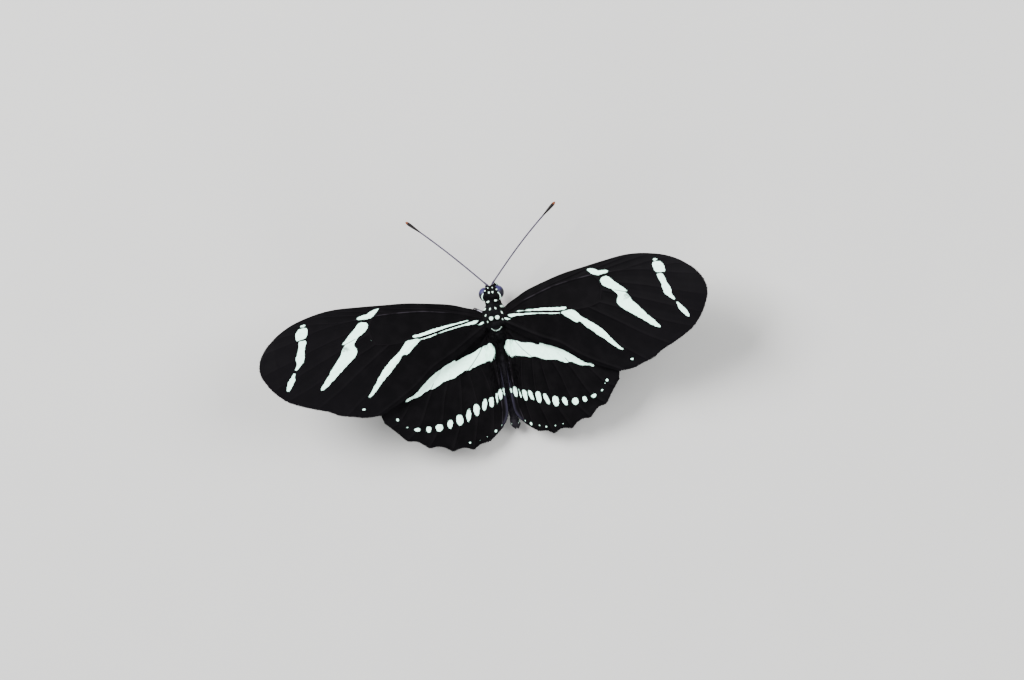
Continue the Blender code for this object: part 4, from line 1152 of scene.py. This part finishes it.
def body_coat(name, nodes):
    """Scales and hair over head and thorax, or over the abdomen."""
    draw = np.random.default_rng(COAT_SEED)
    count = COAT_COUNTS[name]
    centres, normals, areas = face_table(skin.data)
    x, y, z = centres.T
    eye = (np.column_stack([np.abs(x - EYE_SIDE_STEP), y, z]) - EYE_CENTRE) / EYE_RADII
    wanted = np.where(y > 3.6, HEAD_DENSITY, np.where(z > BODY_CENTRE_Z, BACK_DENSITY, BELLY_DENSITY))
    wanted[((y < TAIL_START) == (name == "body_coat")) | (np.sum(eye ** 2, axis=1) < 1.0)] = 0.0
    chance = areas * wanted
    chosen = draw.choice(len(centres), count, p=chance / chance.sum())
    roots = centres[chosen]
    ups = normals[chosen]
    marks = body_marks(roots)
    lengths, widths, lifts = coat_sizes(roots[:, 1], ups[:, 2])
    close = (marks > -0.35) & (ups[:, 2] > 0.0)
    lengths = np.where(close, np.minimum(lengths, SHORTEST), lengths) * draw.uniform(0.75, 1.25, count)
    face = roots[:, 1] > FACE_START
    lies = np.column_stack([
        roots[:, 0] * 0.18 + draw.normal(0.0, 0.16, count), np.where(face, 0.4, -1.0),
        draw.normal(-0.05, 0.12, count) - 0.8 * face,
    ])
    grown = blades(roots, ups, lies, lengths, widths, lifts, body_unwrap(roots))
    middle = body_marks(roots + lies / np.linalg.norm(lies, axis=1)[:, None] * lengths[:, None] * 0.5)
    depth = np.where(marks > 0.0, np.maximum(middle, crescent_depth(roots)), np.minimum(middle, 0.0))
    settle(coat_piece({"cream": depth}, *grown), name, BODY_FINISH, nodes)


body_coat("body_coat", ["head", "thorax"])
body_coat("abdomen_coat", ["abdomen"])
settle(skin, "body_skin", BODY_FINISH, ["head", "thorax", "abdomen"])

# %% [markdown]
# ## Fringes and hair of the wings
# A wing's rim carries a fringe of scales, and long soft hair grows from its root over the joint
# with the body. Both are blades again: the fringe points straight out of the rim, and the hair is
# drawn in a field near the root, thick at the body and thinning outward. Each blade takes the
# colour of the place it grows from.

# %% Wing coat
FRINGE_STEP = 0.06
FRINGE_LENGTH = 0.22
HAIR_LENGTH = 0.65
HAIR_RISE = 0.06
RIM_OVERLAP = 0.08
HAIR_SEED = 17
HAIR_FIELDS = {
    "forewing": ((1.9, 6.0), (-3.4, 2.4), (1.0, -0.35), 900),
    "hindwing": ((0.3, 3.6), (-12.5, -2.4), (0.22, -1.0), 1500),
}


def wing_unwrap(plan):
    """An unwrap of a wing's own shape: the wing laid flat."""
    return np.column_stack([0.02 + 0.95 * plan[:, 0] / 43.0, 0.02 + 0.95 * (plan[:, 1] + 23.0) / 31.0])


def wing_coat(kind, side_name, mirror):
    """The fringe on a wing's rim and the hair over its root."""
    name = kind + "_" + side_name
    wing = WINGS[kind]
    draw = np.random.default_rng(HAIR_SEED)
    (x_low, x_high), (y_low, y_high), lie, tries = HAIR_FIELDS[kind]
    length = np.linalg.norm(np.diff(wing["rim"], axis=0), axis=1).sum()
    rim = smooth_line(wing["rim"][::4], int(length / FRINGE_STEP))
    heading = np.gradient(rim, axis=0)
    outward = np.column_stack([-heading[:, 1], heading[:, 0]]) / np.linalg.norm(heading, axis=1)[:, None]
    field = np.column_stack([draw.uniform(x_low, x_high, tries), draw.uniform(y_low, y_high, tries)])
    near = 1.0 - (field[:, 0] - x_low) / (x_high - x_low)
    field = field[(depth_inside(field, wing["edge"]) > 0.1) & (near ** 1.5 > draw.uniform(0.0, 1.0, tries))]
    roots = np.vstack([rim - outward * RIM_OVERLAP, field])
    count = len(roots)
    hair = np.arange(count) >= len(rim)
    flat = np.vstack([outward, np.tile(lie, (len(field), 1))]) + draw.normal(0.0, 0.2, (count, 2))
    lengths = np.where(hair, HAIR_LENGTH, FRINGE_LENGTH) * draw.uniform(0.6, 1.3, count)
    held = held_plan(name, roots)
    places = np.column_stack([held[:, 0] * mirror, held[:, 1], wing["height"](roots) + HAIR_RISE * hair])
    ups = np.tile([0.0, 0.0, 1.0], (count, 1))
    lies = np.column_stack([flat[:, 0] * mirror, flat[:, 1], flat[:, 0] * WING_LIFT])
    widths = np.where(hair, 0.05, 0.09)
    grown = blades(places, ups, lies, lengths, widths, np.where(hair, 0.30, 0.0), wing_unwrap(roots))
    keys = ("vein_far", "vein_side", "cut_far", "cut_side", "light", "edge")
    plain = dict.fromkeys(keys, np.full(count, 5.0))
    own = {
        **plain, "cream": pale_depth(roots, wing, side_name), "upper": np.ones(count),
        "dusk": np.zeros(count), "red": np.full(count, OUTSIDE), "root": roots[:, 0], "tail": roots[:, 1],
    }
    settle(coat_piece(own, *grown), name + "_coat", WING_FINISH, [name])


for side_name, side_sign in SIDES:
    wing_coat("forewing", side_name, side_sign)
    wing_coat("hindwing", side_name, side_sign)

# %% [markdown]
# ## Eyes
# A butterfly's eye is a dome of thousands of lenses. An icosphere is the right start, because its
# points already lie in six-sided rows. The points of a coarser level stand out a hair's breadth
# after one more subdivision, which gives each lens its own small dome. The upper part is painted
# with a grey-violet sheen, a painted reflection, and the lower part is dark, with a pale rim of
# scales where it meets the head.

# %% Eyes
LENS_RISE = 0.007


def eye_finish():
    """Dark glossy lenses with a painted violet sheen above, a painted reflection."""
    paint = Paint("eye_lens")
    height = paint.own("height")
    cloud = paint.noise(0.35, 2.0)
    # painted reflection: a violet sheen over the upper front of the eye, set by the stored height
    painted_sheen_mask = (height + (cloud - 0.5) * 0.30).above(0.22, 0.72)
    dark = tone(0.002, 0.002, 0.004)
    violet_sheen = tone(0.022, 0.018, 0.076)
    colour = paint.mix(painted_sheen_mask, dark, violet_sheen)
    colour = paint.mix(paint.own("lens") * 0.4, colour, tone(0.008, 0.007, 0.018))
    rim = (paint.own("rim") + (paint.noise(0.09, 2.0) - 0.5) * 0.05).above(0.0, 0.04)
    colour = paint.mix(rim, colour, PALE_SCALES)
    return paint.finish({
        "Base Color": colour,
        "Roughness": 0.44 + cloud * 0.10,
        "Coat Weight": 0.03,
        "Coat Roughness": 0.30,
        "Specular IOR Level": 0.16,
    })


EYE_FINISH = eye_finish()


def make_eye(name, side):
    """One eye: an egg of small domes."""
    bpy.ops.object.select_all(action="DESELECT")
    bpy.ops.mesh.primitive_ico_sphere_add(subdivisions=5, radius=1.0)
    piece = bpy.context.object
    lenses = len(piece.data.vertices)
    bpy.ops.object.mode_set(mode="EDIT")
    bpy.ops.mesh.select_all(action="SELECT")
    bpy.ops.mesh.subdivide(number_cuts=1, smoothness=1.0)
    bpy.ops.object.mode_set(mode="OBJECT")
    places = point_places(piece.data)
    outward = places / np.linalg.norm(places, axis=1)[:, None]
    valley = np.arange(len(places)) >= lenses
    centre = np.array([side * EYE_CENTRE[0] + EYE_SIDE_STEP, *EYE_CENTRE[1:]])
    laid = centre + outward * EYE_RADII * (1.0 - valley * LENS_RISE)[:, None]
    move_points(piece.data, laid)
    store(piece.data, "rim", crescent_depth(laid))
    # how far each point faces up and forward, where the painted violet sheen goes
    store(piece.data, "height", 0.30 * outward[:, 2] + 0.90 * outward[:, 1])
    store(piece.data, "lens", valley)
    settle(piece, name + "_lenses", EYE_FINISH, [name])


for side_name, side_sign in SIDES:
    make_eye("eye_" + side_name, side_sign)

# %% [markdown]
# ## Round limbs
# Feelers, tongue, palps and legs are round and change thickness along their length. A curve with a
# bevel gives such a tube: its points carry the thickness, and converting it leaves an even mesh.
# The tube's ends are capped and merged, so it is closed.

# %% Tube


def add_tube(points, radii, sides):
    """A closed round tube through points, with a half thickness at each."""
    data = bpy.data.curves.new("tube", "CURVE")
    data.dimensions = "3D"
    data.bevel_depth = 1.0
    data.bevel_resolution = sides // 2 - 2
    data.use_fill_caps = True
    line = data.splines.new("POLY")
    line.points.add(len(points) - 1)
    for knot, point, radius in zip(line.points, points, radii):
        knot.co = (*point, 1.0)
        knot.radius = radius
    piece = bpy.data.objects.new("tube", data)
    bpy.context.scene.collection.objects.link(piece)
    pick(piece)
    bpy.ops.object.convert(target="MESH")
    piece = bpy.context.object
    bpy.ops.object.mode_set(mode="EDIT")
    bpy.ops.mesh.select_all(action="SELECT")
    bpy.ops.mesh.remove_doubles(threshold=0.0001)
    bpy.ops.mesh.normals_make_consistent(inside=False)
    bpy.ops.object.mode_set(mode="OBJECT")
    return piece

# %% [markdown]
# ## Feelers
# The feelers are thin ringed rods, a little bowed, that thicken to a club at the tip. Each ring is
# narrower at its root, so the radius follows a small saw tooth. They are purple grey with a paler
# ring at each joint, and the club is darker with a warm brown tip.

# %% Feelers
ANTENNA_ROOT = (0.58, 6.65, -1.3)
ANTENNA_TIPS = {"left": (-13.1, 20.5, -1.2), "right": (14.95, 19.1, -1.2)}
ANTENNA_SIDE_STEP = 0.22
ANTENNA_RISE = 0.35
ANTENNA_BOW = 0.45
ANTENNA_RINGS = 44
RING_STEPS = 5
ROD_RADIUS = 0.145
CLUB_GROWTH = 0.165
CLUB_SPAN = (0.80, 0.16)
TIP_SPAN = (0.968, 0.034)


def feeler_finish():
    """Purple grey rings with a dark club and a brown tip."""
    paint = Paint("feeler_rings")
    along = paint.own("along")
    ring = paint.own("ring")
    grain = paint.noise(0.08, 2.0)
    rod = paint.mix(ring.above(0.70, 0.95), tone(0.022, 0.018, 0.034), tone(0.075, 0.068, 0.105))
    rod = paint.mix(grain.above(0.4, 0.8) * 0.4, rod, tone(0.055, 0.045, 0.075))
    colour = paint.mix(along.above(0.80, 0.86), rod, tone(0.003, 0.002, 0.002))
    colour = paint.mix(along.above(0.970, 0.985), colour, tone(0.10, 0.026, 0.008))
    return paint.finish({
        "Base Color": colour,
        "Roughness": 0.5 + grain * 0.2,
        "Specular IOR Level": 0.12,
        "Normal": paint.bump(grain, 0.3, 0.01),
    })


FEELER_FINISH = feeler_finish()


def make_feeler(side_name, side):
    """One ringed feeler from its socket on the crown to its club."""
    name = "antenna_" + side_name
    root = np.array([side * ANTENNA_ROOT[0] + ANTENNA_SIDE_STEP, *ANTENNA_ROOT[1:]])
    tip = np.array(ANTENNA_TIPS[side_name])
    length = np.linalg.norm(tip - root)
    forward = (tip - root) / length
    inside = root - forward * 0.5 - np.array([0.0, 0.15, 0.45])
    steps = ANTENNA_RINGS * RING_STEPS
    t = np.arange(steps + 1) / steps
    swing = np.sin(np.pi * t)[:, None] * np.array([0.0, ANTENNA_BOW, ANTENNA_RISE])
    line = root + (tip - root) * t[:, None] + swing
    club = np.clip((t - CLUB_SPAN[0]) / CLUB_SPAN[1], 0.0, 1.0)
    club = club * club * (3.0 - 2.0 * club)
    radius = (ROD_RADIUS + CLUB_GROWTH * club) * (0.94 + 0.09 * ((t * ANTENNA_RINGS) % 1.0))
    radius *= np.sqrt(1.0 - np.clip((t - TIP_SPAN[0]) / TIP_SPAN[1], 0.0, 1.0) ** 2)
    radius[t < 0.03] *= 1.25
    piece = add_tube([inside, *line, tip + forward * 0.1], [0.16, *radius, 0.015], 12)
    along = (point_places(piece.data) - root) @ forward / length
    store(piece.data, "along", np.clip(along, 0.0, 1.0))
    store(piece.data, "ring", (np.clip(along, 0.0, 0.9999) * ANTENNA_RINGS) % 1.0)
    settle(piece, name + "_rings", FEELER_FINISH, [name])


for side_name, side_sign in SIDES:
    make_feeler(side_name, side_sign)

# %% [markdown]
# ## Palps and folded forelegs
# Two short palps curl up before the face, and the forelegs of this family are small brushes folded
# under the neck. Both are flesh under the same scales as the body, so each is a tube with a coat of
# its own in the body's finish.

# %% Palps and forelegs
PALP_PATH = [
    (0.70, 5.6, -3.9), (0.82, 5.95, -3.95), (0.85, 6.25, -3.85), (0.80, 6.4, -3.5), (0.72, 6.4, -3.1),
    (0.64, 6.35, -2.7),
]
FORELEG_PATH = [
    (0.80, 2.35, -4.0), (0.85, 2.6, -4.7), (0.70, 3.4, -5.0), (0.62, 4.2, -4.85), (0.60, 4.95, -4.85),
]
SHORT_LIMBS = {
    "palp": (PALP_PATH, [0.20, 0.25, 0.27, 0.25, 0.18, 0.06], 0.30, 21, "body"),
    "foreleg": (FORELEG_PATH, [0.24, 0.22, 0.19, 0.15, 0.08], 0.34, 22, "leg"),
}
LIMB_KNOTS = 26
LIMB_BLADES = 260
DARK_DEPTH = -0.3


def short_limb(kind, side_name, side):
    """A short scaled limb: a tube with blades that lie along it."""
    name = kind + "_" + side_name
    path, widths, length, seed, slot = SHORT_LIMBS[kind]
    draw = np.random.default_rng(seed)
    count = LIMB_BLADES
    line = smooth_line([(side * x, y, z) for x, y, z in path], LIMB_KNOTS)
    radii = np.interp(np.linspace(0.0, 1.0, LIMB_KNOTS), np.linspace(0.0, 1.0, len(widths)), widths)
    tube = add_tube(line, radii, 14)
    centres, normals, areas = face_table(tube.data)
    chosen = draw.choice(len(centres), count, p=areas / areas.sum())
    roots, ups = centres[chosen], normals[chosen]
    nearest = np.argmin(np.linalg.norm(roots[:, None] - line[None], axis=2), axis=1)
    heading = np.gradient(line, axis=0)[nearest]
    lies = heading / np.linalg.norm(heading, axis=1)[:, None] + draw.normal(0.0, 0.15, (count, 3))
    lengths = length * draw.uniform(0.7, 1.3, count)
    share = nearest / (LIMB_KNOTS - 1.0)
    pale = (kind == "palp") & (share > 0.25) & (share < 0.62)
    pale = pale & (np.abs(ups @ np.array([side, 0.3, 0.0])) > 0.75)
    unwrap = np.column_stack([0.1 + 0.8 * share, 0.5 + 0.4 * np.arctan2(ups[:, 0], ups[:, 2]) / math.pi])
    own = {"cream": np.where(pale, -DARK_DEPTH, DARK_DEPTH)}
    coat = coat_piece(own, *blades(roots, ups, lies, lengths, 0.07, 0.45, unwrap))
    store(tube.data, "cream", np.full(len(tube.data.vertices), DARK_DEPTH))
    settle(tube, name + "_core", BODY_FINISH, [name])
    settle(coat, name + "_coat", BODY_FINISH, [name])


for side_name, side_sign in SIDES:
    short_limb("palp", side_name, side_sign)
    short_limb("foreleg", side_name, side_sign)

# %% [markdown]
# ## Tongue
# At rest the tongue winds into a flat coil under the face. It is two half tubes that zip together,
# so it carries fine rings. A spiral is one formula: the radius shrinks a little with each turn.

# %% Tongue
COIL_CENTRE = (0.0, 5.3, -6.0)
COIL_OUTER = 0.98
COIL_INNER = 0.26
COIL_TURNS = 2.9
COIL_START = math.radians(75.0)
COIL_ROOT = (0.0, 5.2, -4.2)
COIL_STEPS = 260
RINGS_PER_RADIAN = 40.0


def tongue_finish():
    """Dark amber horn with fine rings."""
    paint = Paint("tongue_horn")
    ring = paint.own("ring")
    colour = paint.mix(ring, tone(0.050, 0.026, 0.012), tone(0.014, 0.008, 0.006))
    return paint.finish({
        "Base Color": colour, "Roughness": 0.30 + ring * 0.15, "Specular IOR Level": 0.5,
    })


def make_tongue():
    """The tongue, from under the face into its coil."""
    t = np.arange(COIL_STEPS + 1) / COIL_STEPS
    angle = COIL_START - math.tau * COIL_TURNS * t
    radius = COIL_OUTER + (COIL_INNER - COIL_OUTER) * t
    turns = np.column_stack([np.zeros_like(t), np.cos(angle), np.sin(angle)])
    line = np.array(COIL_CENTRE) + turns * radius[:, None]
    thickness = (0.135 - 0.05 * t) * (1.0 + 0.05 * np.sin(t * COIL_STEPS * math.pi / 2.0))
    piece = add_tube([COIL_ROOT, *line], [0.17, *thickness], 12)
    away = point_places(piece.data) - COIL_CENTRE
    store(piece.data, "ring", 0.5 + 0.5 * np.sin(np.arctan2(away[:, 2], away[:, 1]) * RINGS_PER_RADIAN))
    settle(piece, "proboscis_coil", tongue_finish(), ["proboscis"])


make_tongue()

# %% [markdown]
# ## Walking legs
# Each walking leg has a thigh, a shin and a foot of five short joints that ends in two claws. The
# thigh starts in the hip under the thorax, the knee is its highest point, and the foot lies on the
# floor. The joints are narrow and the segments swell between them. Fine blades lie along thigh and
# shin, and a pale lilac line runs along their upper outer side, partly pale scales and partly a
# painted highlight.

# %% Walking legs
LEGS = {
    "midleg_right": ((1.05, 0.7, -5.4), (3.9, 1.4, -3.1), (6.3, 1.6), (9.6, 2.6)),
    "midleg_left": ((-1.05, 0.6, -5.4), (-3.8, 2.86, -3.0), (-6.2, 1.9), (-9.5, 2.7)),
    "hindleg_right": ((0.95, -1.3, -5.3), (3.6, -4.0, -3.6), (5.5, -8.0), (7.3, -11.2)),
    "hindleg_left": ((-0.95, -1.3, -5.3), (-3.7, -3.9, -3.6), (-5.7, -7.6), (-7.9, -10.6)),
}
FOOT_HEIGHT = 0.14
ANKLE_HEIGHT = 0.20
FOOT_JOINTS = (0.40, 0.58, 0.73, 0.86, 1.0)
THIGH = (0.17, 0.23, 0.17)
SHIN = (0.13, 0.15, 0.12)
TOE = (0.085, 0.115, 0.105)
TOE_TAPER = 0.006
COAT_BELLIES = (0.19, 0.14)
PALE_AND_HIGHLIGHT_SPAN = (0.35, 0.93)
PALE_AND_HIGHLIGHT_TOP = 0.80
SEGMENT_SHARES = (0.0, 0.06, 0.2, 0.45, 0.75, 0.93, 1.0)
LEG_BLADES = 320
LEG_SEED = 31


def leg_finish():
    """Dark scaled legs with a pale lilac line on top, pale scales and a painted highlight in one."""
    paint = Paint("leg_scales")
    grain = paint.noise(0.08, 2.0)
    dark = paint.mix(grain.above(0.35, 0.75), tone(0.012, 0.010, 0.012), tone(0.045, 0.038, 0.046))
    # pale scales and a painted highlight: the pale lilac line along the top of thigh and shin
    pale = paint.own("pale").above(0.35, 0.65)
    colour = paint.mix(pale, dark, tone(0.86, 0.82, 0.98))
    return paint.finish({
        "Base Color": colour, "Roughness": 0.55 + grain * 0.15, "Specular IOR Level": 0.3,
        "Normal": paint.bump(grain, 0.3, 0.01),
    })


LEG_FINISH = leg_finish()


def from_floor(x, y, z):
    """A place over the floor, in the butterfly's own frame."""
    return np.array(STANCE.inverted() @ Vector((x * MM, (y + FORWARD_SHIFT) * MM, z * MM)))


def segment(start, end, root, belly, tip):
    """A limb segment that swells between two joints."""
    radii = [root * 0.6, root, (root + belly) / 2.0, belly, (belly + tip) / 2.0, tip, tip * 0.6]
    return add_tube([start + (end - start) * share for share in SEGMENT_SHARES], radii, 12)


def make_claws(toe, heading, across):
    """Two small claws at the end of a foot."""
    down = np.array([0.0, 0.0, -1.0])
    claws = []
    for side in (-across, across):
        points = [
            toe - heading * 0.05,
            toe + heading * 0.14 + side * 0.08 + down * 0.01,
            toe + heading * 0.26 + side * 0.13 + down * 0.05,
            toe + heading * 0.33 + side * 0.13 + down * 0.11,
        ]
        claws.append(add_tube(points, [0.05, 0.04, 0.025, 0.006], 6))
    return claws


def thigh_pale_and_highlight(places, hip, knee):
    """1 on the upper side of the thigh, where a pale line of scales and a painted highlight run, and 0
    elsewhere.
    """
    share = np.clip((places - hip) @ (knee - hip) / ((knee - hip) @ (knee - hip)), 0.0, 1.0)
    away = places - hip - share[:, None] * (knee - hip)
    up = away[:, 2] / np.maximum(np.linalg.norm(away, axis=1), 1e-6)
    return (share > PALE_AND_HIGHLIGHT_SPAN[0]) & (share < PALE_AND_HIGHLIGHT_SPAN[1]) & (up > PALE_AND_HIGHLIGHT_TOP)


def make_leg(name):
    """One walking leg with its joints, spurs, claws and blades."""
    hip, knee, ankle, toe = LEGS[name]
    hip = np.array(hip)
    knee = np.array(knee)
    ankle = from_floor(*ankle, ANKLE_HEIGHT)
    toe = from_floor(*toe, FOOT_HEIGHT)
    heading = (toe - ankle) / np.linalg.norm(toe - ankle)
    across = np.cross(heading, [0.0, 0.0, 1.0])
    parts = [segment(hip, knee, *THIGH), segment(knee, ankle, *SHIN)]
    for index, (low, high) in enumerate(zip((0.0, *FOOT_JOINTS), FOOT_JOINTS)):
        start, end = (ankle + (toe - ankle) * share for share in (low, high))
        parts.append(segment(start, end, TOE[0], TOE[1] - TOE_TAPER * index, TOE[2]))
    for side in (-across, across):
        spur = ankle + heading * 0.35 + side * 0.16 + np.array([0.0, 0.0, 0.02])
        parts.append(add_tube([ankle - heading * 0.05, (ankle + spur) / 2.0, spur], [0.05, 0.035, 0.006], 6))
    leg = join(parts + make_claws(toe, heading, across))
    leg_coat(name, hip, knee, ankle)
    places = point_places(leg.data)
    lowest = min((STANCE @ Vector(place)).z for place in places.tolist())
    print(name, "lowest point", round(lowest / MM, 3), "mm")
    store(leg.data, "pale", thigh_pale_and_highlight(places, hip, knee))
    settle(leg, name + "_joints", LEG_FINISH, [name])


def leg_coat(name, hip, knee, ankle):
    """Blades along thigh and shin, with a pale line of scales and a painted highlight on the upper outer
    side.
    """
    draw = np.random.default_rng(LEG_SEED)
    roots, ups, lies, shares = [], [], [], []
    for start, end, belly in zip((hip, knee), (knee, ankle), COAT_BELLIES):
        along = (end - start) / np.linalg.norm(end - start)
        first = np.cross(along, [0.0, 0.0, 1.0])
        first /= np.linalg.norm(first)
        second = np.cross(first, along)
        share = draw.uniform(0.06, 0.95, LEG_BLADES // 2)
        turn = draw.uniform(0.0, math.tau, LEG_BLADES // 2)
        up = np.cos(turn)[:, None] * first + np.sin(turn)[:, None] * second
        thick = belly * (0.72 + 0.28 * np.sin(np.pi * share))
        roots.append(start + (end - start) * share[:, None] + up * thick[:, None] * 0.9)
        ups.append(up)
        lies.append(along + draw.normal(0.0, 0.12, (len(share), 3)))
        shares.append(share)
    roots, ups, lies = np.vstack(roots), np.vstack(ups), np.vstack(lies)
    share = np.concatenate(shares)
    count = len(roots)
    shin = np.arange(count) >= count // 2
    outer = np.array([np.sign(knee[0]) * 0.5, 0.2, 0.85])
    # the pale line of scales and painted highlight faces up and out on the shin, and runs on top of the
    # thigh
    pale = np.where(shin, ups @ outer > 0.85, thigh_pale_and_highlight(roots, hip, knee))
    unwrap = np.column_stack([0.05 + 0.9 * share, 0.5 + 0.4 * np.arctan2(ups[:, 0], ups[:, 2]) / math.pi])
    lengths = np.where(shin | (ups[:, 2] < 0.3), 0.26, 0.12) * draw.uniform(0.7, 1.3, count)
    coat = coat_piece({"pale": pale}, *blades(roots, ups, lies, lengths, 0.05, 0.22, unwrap))
    settle(coat, name + "_coat", LEG_FINISH, [name])


for leg_name in LEGS:
    make_leg(leg_name)
